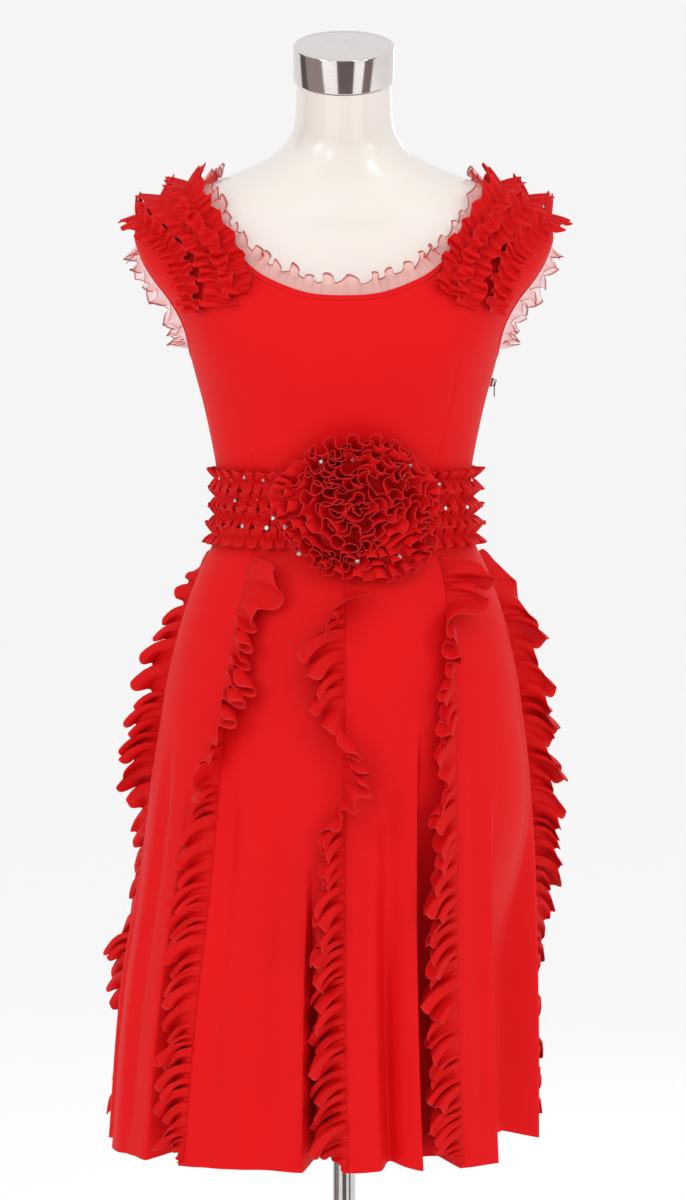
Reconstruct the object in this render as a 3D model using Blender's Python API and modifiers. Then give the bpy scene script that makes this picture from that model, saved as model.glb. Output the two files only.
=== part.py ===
"""Sleeveless party dress with gathered frills, standing on a limbless dress form.

Metres, +Z up. The origin is the middle of the base plate's underside, the pole is on
the Z axis, the front faces -Y and the wearer's left is +X. Cloth is worked out from
two surfaces: the dress form's skin (angle round, height) and the skirt's own cone.
"""

import math
from collections import namedtuple

import bmesh
import bpy
import numpy as np
from mathutils import Matrix

# Driving sizes, in metres and degrees.
CLOTH = 0.0015
FRILL = 0.0012
SEAM = 0.0004
OFF_FORM = 0.0014
HEM = 0.441
FORM_BOTTOM = 0.800
FORM_COLUMNS = 32

POLE_RADIUS = 0.0108
BASE_RADIUS = 0.165
BASE_THICK = 0.008
CAP_RADIUS = 0.0475
CAP_TALL = 0.034

# The form's skin, one level section a row. Angles run 0 front, +90 wearer's left.
Ring = namedtuple("Ring", "height half_width front back lean tilt square")
BODY = (
    Ring(FORM_BOTTOM, 0.1500, 0.0900, 0.1000, 0.000, 0, 0.03),
    Ring(0.840, 0.1570, 0.0960, 0.1100, 0.000, 0, 0.03),
    Ring(0.885, 0.1580, 0.0990, 0.1130, 0.000, 0, 0.03),
    Ring(0.940, 0.1470, 0.0960, 0.1070, 0.000, 0, 0.03),
    Ring(0.985, 0.1310, 0.0900, 0.0910, 0.000, 0, 0.03),
    Ring(1.015, 0.1210, 0.0870, 0.0820, 0.000, 0, 0.03),
    Ring(1.045, 0.1170, 0.0860, 0.0760, 0.000, 0, 0.03),
    Ring(1.083, 0.1180, 0.0890, 0.0770, 0.000, 0, 0.03),
    Ring(1.115, 0.1235, 0.0960, 0.0810, 0.000, 0, 0.03),
    Ring(1.149, 0.1310, 0.1040, 0.0880, 0.000, 0, 0.035),
    Ring(1.175, 0.1380, 0.1100, 0.0920, 0.000, 0, 0.045),
    Ring(1.201, 0.1450, 0.1130, 0.0960, 0.000, 0, 0.06),
    Ring(1.222, 0.1520, 0.1110, 0.0980, 0.000, 0, 0.085),
    Ring(1.244, 0.1630, 0.1060, 0.0970, 0.000, 0, 0.12),
    Ring(1.265, 0.1770, 0.0980, 0.0940, 0.000, 0, 0.15),
    Ring(1.285, 0.1870, 0.0900, 0.0900, 0.000, 0, 0.17),
    Ring(1.305, 0.1925, 0.0820, 0.0840, 0.000, 0, 0.17),
    Ring(1.325, 0.1835, 0.0750, 0.0760, 0.000, 0, 0.15),
    Ring(1.343, 0.1540, 0.0680, 0.0670, 0.000, 0, 0.11),
    Ring(1.353, 0.1280, 0.0640, 0.0620, 0.000, 0, 0.08),
    Ring(1.367, 0.0920, 0.0590, 0.0560, 0.001, 0, 0.04),
    Ring(1.380, 0.0670, 0.0540, 0.0510, 0.004, 3, 0.02),
    Ring(1.395, 0.0520, 0.0480, 0.0460, 0.010, 9, 0.01),
    Ring(1.410, 0.0465, 0.0455, 0.0445, 0.017, 15, 0.0),
    Ring(1.449, 0.0445, 0.0445, 0.0445, 0.032, 20, 0.0),
)
BUST = dict(angle=33.0, height=1.208, swell=0.012, wide=17.0, tall=0.040)
FORM_HEIGHTS = (
    FORM_BOTTOM, 0.840, 0.885, 0.930, 0.965, 0.992, 1.016, 1.042, 1.070, 1.100, 1.132, 1.162,
    1.188, 1.210, 1.231, 1.250, 1.268, 1.284, 1.299, 1.312, 1.324, 1.334, 1.343, 1.351,
    1.360, 1.371, 1.386, 1.406, 1.449,
)

# Bodice edges, matched in pairs from waist to shoulder. `armhole` is the share of a
# turn round the armhole oval; below 0 the outer edge is the side seam at `side`.
Edge = namedtuple("Edge", "angle height armhole side")
FRONT_EDGES = (
    Edge(0.0, 1.0838, -1, 1.0838),
    Edge(0.0, 1.1170, -1, 1.1170),
    Edge(0.0, 1.1520, -1, 1.1520),
    Edge(0.0, 1.1860, 0.00, 0),
    Edge(0.0, 1.2080, 0.07, 0),
    Edge(0.0, 1.2285, 0.14, 0),
    Edge(0.0, 1.2468, 0.21, 0),
    Edge(12.0, 1.2500, 0.25, 0),
    Edge(22.3, 1.2648, 0.29, 0),
    Edge(27.4, 1.2840, 0.33, 0),
    Edge(30.9, 1.3023, 0.37, 0),
    Edge(35.0, 1.3198, 0.405, 0),
    Edge(39.0, 1.3292, 0.43, 0),
    Edge(45.5, 1.3378, 0.45, 0),
    Edge(57.0, 1.3450, 0.467, 0),
    Edge(73.0, 1.3500, 0.483, 0),
    Edge(90.0, 1.3535, 0.50, 0),
)
BACK_EDGES = (
    Edge(0.0, 1.0838, -1, 1.0838),
    Edge(0.0, 1.1170, -1, 1.1170),
    Edge(0.0, 1.1520, -1, 1.1520),
    Edge(0.0, 1.1860, 0.00, 0),
    Edge(0.0, 1.2090, 0.05, 0),
    Edge(0.0, 1.2320, 0.10, 0),
    Edge(0.0, 1.2550, 0.155, 0),
    Edge(0.0, 1.2780, 0.21, 0),
    Edge(9.0, 1.2800, 0.25, 0),
    Edge(19.0, 1.2880, 0.29, 0),
    Edge(26.0, 1.3000, 0.33, 0),
    Edge(31.5, 1.3130, 0.37, 0),
    Edge(36.5, 1.3230, 0.405, 0),
    Edge(41.0, 1.3310, 0.43, 0),
    Edge(47.5, 1.3388, 0.45, 0),
    Edge(58.0, 1.3450, 0.467, 0),
    Edge(73.0, 1.3500, 0.483, 0),
    Edge(90.0, 1.3535, 0.50, 0),
)
BODICE_COLUMNS = 9

ARMHOLE = dict(height=1.247, half_turn=24.0, half_tall=0.059, band=0.0085, slit=0.0035)
DEGREES_A_METRE = 320.0

WAIST_ROWS = (1.0755, 1.0580, 1.0405, 1.0220)
WAIST_COLUMNS = 36
WAIST_LEVELS = (1.0126, 1.0362, 1.0598, 1.0833)
WAIST_ROW = dict(half=0.0081, off=0.0011, lift=0.0080, wave=0.0028, waves=9)
UNDER_ROSETTE = dict(lift=0.0016, wave=0.0005)

# Rosette rings from the middle outwards, round a point on the waistband.
ROSETTE = dict(x=0.0140, height=1.0530, wide=1.02, tall=1.00, out=0.0083, sag=0.085)
Petals = namedtuple("Petals", "radius lean width waves wave")
ROSETTE_RINGS = (
    Petals(0.008, 8, 0.0165, 5, 0.0022),
    Petals(0.020, 14, 0.0180, 6, 0.0034),
    Petals(0.032, 24, 0.0180, 7, 0.0038),
    Petals(0.045, 38, 0.0170, 8, 0.0038),
    Petals(0.057, 58, 0.0150, 9, 0.0034),
)
ROSETTE_BASE = 0.0605
ROSETTE_FOOT = 0.0010

# Shoulder frills: middle lines from the front of the strap to the shoulder seam.
ShoulderRow = namedtuple("ShoulderRow", "angles heights")
SHOULDER_ROWS = (
    ShoulderRow((32.0, 31.9, 33.5, 40.5, 54.0, 72.0, 90.0),
                (1.2518, 1.2720, 1.3000, 1.3265, 1.3395, 1.3455, 1.3480)),
    ShoulderRow((41.5, 39.8, 41.0, 48.5, 61.0, 75.0, 90.0),
                (1.2420, 1.2680, 1.2960, 1.3195, 1.3295, 1.3342, 1.3360)),
    ShoulderRow((52.5, 48.9, 49.4, 57.0, 68.0, 79.0, 90.0),
                (1.2380, 1.2660, 1.2930, 1.3105, 1.3170, 1.3202, 1.3212)),
)
SHOULDER_FRILL = dict(half=0.0105, lift=0.0045, crest=0.0095, wave=0.0022, waves=4,
                      off=0.0019)

# The skirt's cone without its folds.
Cone = namedtuple("Cone", "height left right front back")
SKIRT = (
    Cone(1.0121, 0.1247, 0.1247, 0.0902, 0.0855),
    Cone(0.985, 0.1380, 0.1375, 0.0985, 0.0980),
    Cone(0.940, 0.1540, 0.1530, 0.1110, 0.1165),
    Cone(0.885, 0.1680, 0.1650, 0.1250, 0.1290),
    Cone(0.840, 0.1755, 0.1715, 0.1335, 0.1370),
    Cone(0.788, 0.1840, 0.1775, 0.1450, 0.1460),
    Cone(0.712, 0.1945, 0.1835, 0.1550, 0.1550),
    Cone(0.579, 0.2155, 0.1885, 0.1650, 0.1640),
    Cone(HEM, 0.2265, 0.1895, 0.1720, 0.1720),
)
SKIRT_SQUARE = 0.03
SKIRT_HEIGHTS = (
    1.0121, 0.970, 0.925, 0.875, 0.825, 0.775, 0.720, 0.660, 0.590, 0.515, HEM,
)

# Seams between the eight gores: angle at the waist, at mid skirt and at the hem.
Seam = namedtuple("Seam", "name waist middle hem")
SEAMS = (
    Seam("front", 0.5, 0.0, 1.2),
    Seam("left_front", 42.5, 33.9, 35.0),
    Seam("left_side", 101.0, 102.0, 102.0),
    Seam("left_back", 139.0, 139.0, 139.0),
    Seam("back", 180.0, 180.0, 180.0),
    Seam("right_back", 221.0, 221.0, 221.0),
    Seam("right_side", 259.0, 258.0, 258.0),
    Seam("right_front", 319.5, 322.0, 320.0),
    Seam("front_again", 360.5, 360.0, 361.2),
)

# Each gore's folds from its first seam to its next: how far across, how deep at the
# hem and the height at which the fold begins.
Fold = namedtuple("Fold", "across depth start")
GORES = (
    (Fold(0.0, 0.0, 0.74), Fold(0.13, 0.0, 0.74), Fold(0.26, 0.001, 0.74),
     Fold(0.40, 0.014, 0.74), Fold(0.52, 0.004, 0.74), Fold(0.63, 0.0, 0.86),
     Fold(0.68, 0.030, 0.86), Fold(0.82, 0.031, 0.86), Fold(0.925, 0.030, 0.86),
     Fold(0.965, 0.0, 0.86), Fold(1.0, 0.0, 0.86)),
    (Fold(0.0, 0.0, 0.86), Fold(0.10, 0.0, 0.80), Fold(0.19, 0.0, 0.80),
     Fold(0.245, 0.042, 0.80), Fold(0.42, 0.045, 0.80), Fold(0.62, 0.045, 0.80),
     Fold(0.79, 0.039, 0.80), Fold(0.87, 0.002, 0.80), Fold(1.0, 0.002, 0.80)),
    (Fold(0.0, 0.002, 0.80), Fold(0.035, 0.002, 0.76), Fold(0.09, 0.016, 0.76),
     Fold(0.34, 0.018, 0.76), Fold(0.51, 0.019, 0.82), Fold(0.65, 0.008, 0.82), Fold(0.82, 0.0, 0.82),
     Fold(1.0, 0.004, 0.80)),
    (Fold(0.0, 0.004, 0.80), Fold(0.18, 0.0, 0.80), Fold(0.36, 0.006, 0.78),
     Fold(0.50, 0.018, 0.78), Fold(0.65, 0.006, 0.78), Fold(0.82, 0.0, 0.78),
     Fold(1.0, 0.004, 0.80)),
    (Fold(0.0, 0.004, 0.80), Fold(0.17, 0.0, 0.80), Fold(0.34, 0.007, 0.80),
     Fold(0.49, 0.019, 0.80), Fold(0.64, 0.007, 0.80), Fold(0.82, 0.0, 0.80),
     Fold(1.0, 0.004, 0.80)),
    (Fold(0.0, 0.004, 0.80), Fold(0.18, 0.0, 0.80), Fold(0.34, 0.008, 0.80),
     Fold(0.50, 0.017, 0.78), Fold(0.66, 0.017, 0.76), Fold(0.90, 0.016, 0.76),
     Fold(0.955, 0.003, 0.76), Fold(1.0, 0.003, 0.80)),
    (Fold(0.0, 0.003, 0.80), Fold(0.12, 0.0, 0.80), Fold(0.22, 0.012, 0.80),
     Fold(0.31, 0.021, 0.80), Fold(0.42, 0.001, 0.80), Fold(0.55, 0.0, 0.80),
     Fold(0.68, 0.003, 0.80), Fold(0.79, 0.0, 0.80), Fold(0.825, 0.028, 0.80),
     Fold(0.945, 0.029, 0.80), Fold(0.975, 0.0, 0.80), Fold(1.0, 0.0, 0.80)),
    (Fold(0.0, 0.0, 0.80), Fold(0.17, 0.0, 0.80), Fold(0.34, 0.002, 0.80),
     Fold(0.50, 0.004, 0.80), Fold(0.73, 0.0, 0.735), Fold(0.775, 0.034, 0.735),
     Fold(0.86, 0.035, 0.735), Fold(0.93, 0.034, 0.735), Fold(0.965, 0.0, 0.735),
     Fold(1.0, 0.0, 0.735)),
)
FOLD_GROWS = 0.22

# Skirt frills. `grows` is the height in which the frill comes to its full width and
# `leans` turns it from straight out (0) to the wearer's left (+) at those heights.
SkirtFrill = namedtuple("SkirtFrill", "seam top grows heights leans")
SKIRT_FRILLS = (
    SkirtFrill(0, 0.972, 0.03, (0.965, 0.925, 0.850, 0.810, 0.770, 0.725, 0.66, 0.44),
               (55, -55, -55, 10, 50, -50, -68, -70)),
    SkirtFrill(1, 1.004, 0.03, (1.00, 0.955, 0.915, 0.88, 0.70, 0.44),
               (52, 50, -50, -50, -66, -70)),
    SkirtFrill(2, 1.004, 0.07, (1.00, 0.90, 0.78, 0.74, 0.66, 0.61, 0.44),
               (20, 5, 4, 24, 55, 80, 80)),
    SkirtFrill(3, 1.004, 0.05, (1.00, 0.85, 0.75, 0.60, 0.44), (-45, -48, 46, 48, -45)),
    SkirtFrill(4, 1.004, 0.05, (1.00, 0.82, 0.70, 0.58, 0.44), (48, 46, -46, -48, 46)),
    SkirtFrill(5, 1.004, 0.05, (1.00, 0.86, 0.76, 0.62, 0.44), (45, 48, -46, -48, 45)),
    SkirtFrill(6, 1.004, 0.14, (1.00, 0.92, 0.87, 0.81, 0.755, 0.67, 0.63, 0.60, 0.56, 0.44),
               (-50, -34, -18, 6, -60, -74, -50, -50, -80, -80)),
    SkirtFrill(7, 1.004, 0.03, (1.00, 0.90, 0.855, 0.80, 0.77, 0.70, 0.58, 0.44),
               (70, 66, 50, -20, -52, -60, -58, -42)),
)
FRILL_SIZE = dict(width=0.033, wave=0.0062, waves=9, steps=4, off=0.0014, aside=0.0016)

# Organza frills: `gap` inside the edge they are sewn to, `reach` over the opening,
# `stand` off the skin, and how much that swings in `waves` waves.
NECK_ORGANZA = dict(gap=0.0008, reach=0.0150, stand=0.0050, wave=0.0026, waves=8,
                    step=0.018)
ARM_ORGANZA = dict(gap=0.0016, reach=0.0072, stand=0.0115, wave=0.0034, waves=5)
ORGANZA_WALL = 0.0011

# The zip's slider, the arch on it and the pull: thickness, width and height.
ZIP = dict(height=1.1668, angle=90.0)
SLIDER = dict(thick=0.0018, wide=0.0046, tall=0.0086)
ARCH = dict(gap=0.0024, thick=0.0008, wide=0.0012, tall=0.0064, above=0.0002)
HINGE_ABOVE = 0.0014
PULL = dict(thick=0.0010, wide=0.0036, tall=0.0150, slot_wide=0.0020, slot_tall=0.0046)


def material(name, colour, roughness, metallic=0.0):
    """A plain Principled material from an sRGB colour given in 0..255."""
    made = bpy.data.materials.new(name)
    made.use_nodes = True
    shader = made.node_tree.nodes["Principled BSDF"]
    linear = [(c / 255.0 / 12.92) if c <= 10 else ((c / 255.0 + 0.055) / 1.055) ** 2.4
              for c in colour]
    shader.inputs["Base Color"].default_value = (*linear, 1.0)
    shader.inputs["Roughness"].default_value = roughness
    shader.inputs["Metallic"].default_value = metallic
    made.diffuse_color = (*linear, 1.0)
    return made


def between(rows, height):
    """Columns of a table of named tuples at a height, by a smooth curve (Hermite)."""
    if rows[0].height > rows[-1].height:
        rows = rows[::-1]
    levels = [row.height for row in rows]
    at = int(np.clip(np.searchsorted(levels, height) - 1, 0, len(rows) - 2))
    low, high = rows[at], rows[at + 1]
    under, over = rows[max(at - 1, 0)], rows[min(at + 2, len(rows) - 1)]
    step = high.height - low.height
    u = (height - low.height) / step
    found = []
    for column in range(1, len(low)):
        rise_low = (high[column] - under[column]) / (high.height - under.height) * step
        rise_high = (over[column] - low[column]) / (over.height - low.height) * step
        found.append((2 * u**3 - 3 * u**2 + 1) * low[column]
                     + (u**3 - 2 * u**2 + u) * rise_low
                     + (3 * u**2 - 2 * u**3) * high[column]
                     + (u**3 - u**2) * rise_high)
    return found


def skin(angle, height, bridge=True):
    """A point of the form's skin: a squared-off ellipse with two soft bust mounds.

    Cloth bridges the hollow between the mounds; the form itself does not.
    """
    half_width, front, back, lean, tilt, square = between(BODY, height)
    turn = math.radians(angle)
    s, c = math.sin(turn), math.cos(turn)
    fuller = 1 + square * (1 - math.cos(4 * turn)) / 2
    deep = front if c > 0 else back
    away = abs((angle + 180) % 360 - 180)
    off = max(away - BUST["angle"], 0) if bridge else abs(away - BUST["angle"])
    swell = BUST["swell"] * math.exp(
        -0.5 * (off / BUST["wide"]) ** 2
        - 0.5 * ((height - BUST["height"]) / BUST["tall"]) ** 2)
    y = -c * (deep * fuller + swell)
    z = height + math.tan(math.radians(tilt)) * y
    return np.array((s * (half_width * fuller + swell), y - lean, z))


def skin_normal(angle, height, bridge=True):
    """Outward normal of the skin, from small steps round and up."""
    around = skin(angle + 0.25, height, bridge) - skin(angle - 0.25, height, bridge)
    up = skin(angle, height + 0.0005, bridge) - skin(angle, height - 0.0005, bridge)
    normal = np.cross(around, up)
    return normal / np.linalg.norm(normal)


def on_body(angle, height, out):
    """A point `out` metres off the form's skin."""
    return skin(angle, height) + out * skin_normal(angle, height)


def angle_across(x, height):
    """The front angle at which the skin is x metres to the wearer's left."""
    turns = np.linspace(-89, 89, 90)
    return float(np.interp(x, [skin(t, height)[0] for t in turns], turns))


def armhole(share, grow):
    """Angle and height on the armhole oval, `grow` metres outside its outer edge."""
    turn = 2 * math.pi * share
    half_turn = ARMHOLE["half_turn"] + grow * DEGREES_A_METRE
    half_tall = ARMHOLE["half_tall"] + grow
    return 90 - half_turn * math.sin(turn), ARMHOLE["height"] - half_tall * math.cos(turn)


def seam_angle(index, height):
    """Angle of a gore seam at a height: a parabola through waist, middle and hem."""
    seam = SEAMS[index]
    t = (SKIRT[0].height - height) / (SKIRT[0].height - HEM)
    return (seam.waist * 2 * (t - 0.5) * (t - 1) + seam.middle * 4 * t * (1 - t)
            + seam.hem * 2 * t * (t - 0.5))


def cone(angle, height, inward=0.0):
    """A point on the skirt's cone, moved in towards the axis."""
    left, right, front, back = between(SKIRT, height)
    turn = math.radians(angle)
    s, c = math.sin(turn), math.cos(turn)
    fuller = 1 + SKIRT_SQUARE * (1 - math.cos(4 * turn)) / 2
    x = s * (right if s > 0 else left) * fuller
    y = -c * (front if c > 0 else back) * fuller
    shrink = 1 - inward / math.hypot(x, y)
    return np.array((x * shrink, y * shrink, height))


def cone_frame(angle, height):
    """Outward normal and the level tangent towards the wearer's left on the cone."""
    around = cone(angle + 0.25, height) - cone(angle - 0.25, height)
    up = cone(angle, height + 0.002) - cone(angle, height - 0.002)
    normal = np.cross(around, up)
    return normal / np.linalg.norm(normal), around / np.linalg.norm(around)


def on_seam(index, height):
    """A point on a gore's first edge, straight between the skirt's rows of points."""
    at = 0
    while height < SKIRT_HEIGHTS[at + 1] - 1e-9:
        at += 1
    upper, lower = SKIRT_HEIGHTS[at], SKIRT_HEIGHTS[at + 1]
    ends = [cone(seam_angle(index, level), level, fold_depth(GORES[index][0], level))
            for level in (upper, lower)]
    return ends[0] + (ends[1] - ends[0]) * (upper - height) / (upper - lower)


def ease(t):
    """Smooth step from 0 to 1."""
    t = min(max(t, 0.0), 1.0)
    return t * t * (3 - 2 * t)


def fold_depth(fold, height):
    """How deep one line of a fold is at a height."""
    return fold.depth * ease((fold.start - height) / FOLD_GROWS)


def lean_at(heights, leans, height):
    """Lean of a frill at a height, eased between the rows of its table."""
    for high, low, lean_high, lean_low in zip(heights, heights[1:], leans, leans[1:]):
        if height >= low:
            t = ease((high - height) / (high - low))
            return lean_high + (lean_low - lean_high) * t
    return leans[-1]


def new_object(name, vertices, faces, shade):
    """A mesh object in the dress collection, shaded smooth."""
    mesh = bpy.data.meshes.new(name)
    mesh.from_pydata([tuple(v) for v in vertices], [], faces)
    mesh.materials.append(shade)
    mesh.polygons.foreach_set("use_smooth", [True] * len(mesh.polygons))
    made = bpy.data.objects.new(name, mesh)
    dress.objects.link(made)
    return made


def solidify(made, thick, offset):
    """Give a cloth surface its thickness; offset -1 keeps the surface outermost."""
    wall = made.modifiers.new("wall", "SOLIDIFY")
    wall.thickness = thick
    wall.offset = offset
    wall.use_even_offset = True
    wall.use_rim = True


def cloth(name, grid, shade, thick, offset=0.0, loop=False, mirror=False):
    """A sheet from a grid of points, rows upwards and columns towards the left."""
    rows, columns = len(grid), len(grid[0])
    vertices = [point for row in grid for point in row]
    faces = []
    for i in range(rows - 1):
        for j in range(columns if loop else columns - 1):
            k = (j + 1) % columns
            faces.append((i * columns + j, i * columns + k,
                          (i + 1) * columns + k, (i + 1) * columns + j))
    made = new_object(name, vertices, faces, shade)
    if mirror:
        other = made.modifiers.new("other half", "MIRROR")
        other.use_axis = (True, False, False)
        other.use_clip = True
        other.merge_threshold = 0.0001
    solidify(made, thick, offset)
    return made


def box(centre, size, where):
    """A box on given axes: size along out, tangent and up; axes are unit rows."""
    out, tangent, up = where
    corners = [centre + out * size[0] * a / 2 + tangent * size[1] * b / 2
               + up * size[2] * c / 2
               for a in (-1, 1) for b in (-1, 1) for c in (-1, 1)]
    faces = [(0, 1, 3, 2), (4, 6, 7, 5), (0, 4, 5, 1), (2, 3, 7, 6), (0, 2, 6, 4),
             (1, 5, 7, 3)]
    return corners, faces


# An empty scene with one collection for the dress and one for the cutters.
for old in list(bpy.data.objects):
    bpy.data.objects.remove(old, do_unlink=True)

dress = bpy.data.collections.new("party dress")
bpy.context.scene.collection.children.link(dress)
cutters = bpy.data.collections.new("cutters")
bpy.context.scene.collection.children.link(cutters)

RED = material("red crepe", (224, 28, 31), 0.62)
FRILL_RED = material("red gathered crepe", (208, 26, 26), 0.66)
ORGANZA = material("pale red organza", (236, 150, 142), 0.45)
CREAM = material("glossy cream fibreglass", (247, 238, 230), 0.22)
CHROME = material("polished chrome", (196, 196, 198), 0.08, 1.0)
STEEL = material("brushed steel plate", (176, 176, 178), 0.32, 1.0)
ZIP_METAL = material("painted zip metal", (122, 46, 44), 0.38, 0.6)

# The dress form, one closed body, and its stand.
form_grid = []
for level in FORM_HEIGHTS:
    form_grid.append([skin(360.0 * j / FORM_COLUMNS, level, bridge=False)
                      for j in range(FORM_COLUMNS)])
points = [point for row in form_grid for point in row]
sides = []
for i in range(len(form_grid) - 1):
    for j in range(FORM_COLUMNS):
        k = (j + 1) % FORM_COLUMNS
        sides.append((i * FORM_COLUMNS + j, i * FORM_COLUMNS + k,
                      (i + 1) * FORM_COLUMNS + k, (i + 1) * FORM_COLUMNS + j))
top_start = (len(form_grid) - 1) * FORM_COLUMNS
sides.append(tuple(range(FORM_COLUMNS - 1, -1, -1)))
sides.append(tuple(range(top_start, top_start + FORM_COLUMNS)))
new_object("dress_form", points, sides, CREAM)


def round_solid(name, radius, tall, matrix, shade, segments, edge):
    """A cylinder standing on the matrix's origin, its rims rounded."""
    bm = bmesh.new()
    bmesh.ops.create_cone(bm, cap_ends=True, segments=segments, radius1=radius,
                          radius2=radius, depth=tall,
                          matrix=Matrix.Translation((0, 0, tall / 2)))
    mesh = bpy.data.meshes.new(name)
    bm.to_mesh(mesh)
    bm.free()
    mesh.materials.append(shade)
    mesh.polygons.foreach_set("use_smooth", [True] * len(mesh.polygons))
    made = bpy.data.objects.new(name, mesh)
    made.matrix_world = matrix
    dress.objects.link(made)
    rim = made.modifiers.new("rounded rims", "BEVEL")
    rim.width = edge
    rim.segments = 2
    rim.limit_method = "ANGLE"
    rim.angle_limit = math.radians(50)
    return made


neck = BODY[-1]
cap_turn = Matrix.Rotation(math.radians(neck.tilt), 4, "X")
cap_foot = Matrix.Translation((0, -neck.lean, neck.height))
cap_rise = Matrix.Translation((0, 0, 0.0004))
round_solid("neck_cap", CAP_RADIUS, CAP_TALL, cap_foot @ cap_turn @ cap_rise, CHROME,
            32, 0.0012)
round_solid("pole", POLE_RADIUS, FORM_BOTTOM - BASE_THICK - 0.0008,
            Matrix.Translation((0, 0, BASE_THICK + 0.0004)), CHROME, 16, 0.0005)
round_solid("base_plate", BASE_RADIUS, BASE_THICK, Matrix.Identity(4), STEEL, 32, 0.002)


def bodice(name, edges, back):
    """Half a bodice panel ruled between its middle and its side, mirrored over X."""
    grid = []
    half_seam = math.degrees(SEAM / 2 / 0.14)
    for edge in edges:
        if edge.armhole < 0:
            side, level = 90.0, edge.side
        else:
            gap = SEAM + ARMHOLE["slit"] * math.sin(2 * math.pi * edge.armhole) ** 2
            side, level = armhole(edge.armhole, gap)
        row = []
        for j in range(BODICE_COLUMNS + 1):
            t = j / BODICE_COLUMNS
            angle = min(edge.angle + (side - edge.angle) * t, 90.0 - half_seam)
            height = edge.height + (level - edge.height) * t
            point = on_body(180 - angle if back else angle, height, OFF_FORM)
            if angle == 0.0:
                point[0] = 0.0
            row.append(point)
        grid.append(row[::-1] if back else row)
    return cloth(name, grid, RED, CLOTH, 1.0, mirror=True)


bodice("bodice_front", FRONT_EDGES, False)
bodice("bodice_back", BACK_EDGES, True)


def armhole_parts(side, name):
    """The binding round one armhole and the organza frill that stands out of it.

    Both have their points at the shares of the bodice panels' own armhole edges.
    """
    front = [edge.armhole for edge in FRONT_EDGES if edge.armhole >= 0]
    back = [1 - edge.armhole for edge in BACK_EDGES if 0 < edge.armhole < 0.5]
    shares = front + back[::-1]
    rim = [[on_body(side * angle, height, OFF_FORM)
            for angle, height in (armhole(share, grow) for share in shares)]
           for grow in (-ARMHOLE["band"], 0.0)]
    if side < 0:
        rim.reverse()
    cloth("armhole_band_" + name, rim, RED, CLOTH, 1.0, loop=True)

    middle = skin(side * 90, ARMHOLE["height"])
    rows = [[], []]
    for share in shares:
        angle, height = armhole(share, -ARMHOLE["band"] - ARM_ORGANZA["gap"])
        root = on_body(side * angle, height, OFF_FORM + CLOTH / 2)
        inward = middle - root
        inward /= np.linalg.norm(inward)
        swing = ARM_ORGANZA["wave"] * math.sin(2 * math.pi * ARM_ORGANZA["waves"] * share)
        rows[0].append(root)
        rows[1].append(root + skin_normal(side * angle, height) * ARM_ORGANZA["stand"]
                       + inward * (ARM_ORGANZA["reach"] + swing))
    cloth("armhole_frill_" + name, rows, ORGANZA, ORGANZA_WALL, loop=True)


armhole_parts(1, "left")
armhole_parts(-1, "right")


def neck_frill():
    """Organza frill round the neck opening, its root just inside the bodice's edge.

    The root runs straight between the points of the bodice's own edge.
    """
    front = [(e.angle, e.height) for e in FRONT_EDGES if e.armhole >= 0.21]
    back = [(180 - e.angle, e.height) for e in BACK_EDGES if e.armhole >= 0.21]
    half = front + back[::-1][1:]
    line = [(-a, h) for a, h in half[:0:-1]] + half[:-1]
    root, normals = [], []
    for (a0, h0), (a1, h1) in zip(line, line[1:] + line[:1]):
        start = on_body(a0, h0, OFF_FORM + CLOTH / 2)
        end = on_body(a1, h1, OFF_FORM + CLOTH / 2)
        pieces = max(1, round(np.linalg.norm(end - start) / NECK_ORGANZA["step"]))
        for k in range(pieces):
            root.append(start + (end - start) * k / pieces)
            normals.append(skin_normal(a0, h0) * (1 - k / pieces)
                           + skin_normal(a1, h1) * k / pieces)
    count = len(root)
    steps = [np.linalg.norm(root[j] - root[j - 1]) for j in range(count)]
    along = np.cumsum(steps) / sum(steps)
    rows = [[], []]
    for j in range(count):
        tangent = root[(j + 1) % count] - root[j - 1]
        inward = np.cross(normals[j], tangent / np.linalg.norm(tangent))
        swing = NECK_ORGANZA["wave"] * math.sin(2 * math.pi * NECK_ORGANZA["waves"]
                                                * along[j])
        start = root[j] + inward * NECK_ORGANZA["gap"]
        rows[0].append(start)
        rows[1].append(start + inward * NECK_ORGANZA["reach"]
                       + normals[j] * (NECK_ORGANZA["stand"] + swing))
    cloth("neck_frill", rows, ORGANZA, ORGANZA_WALL, loop=True)


neck_frill()


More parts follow.
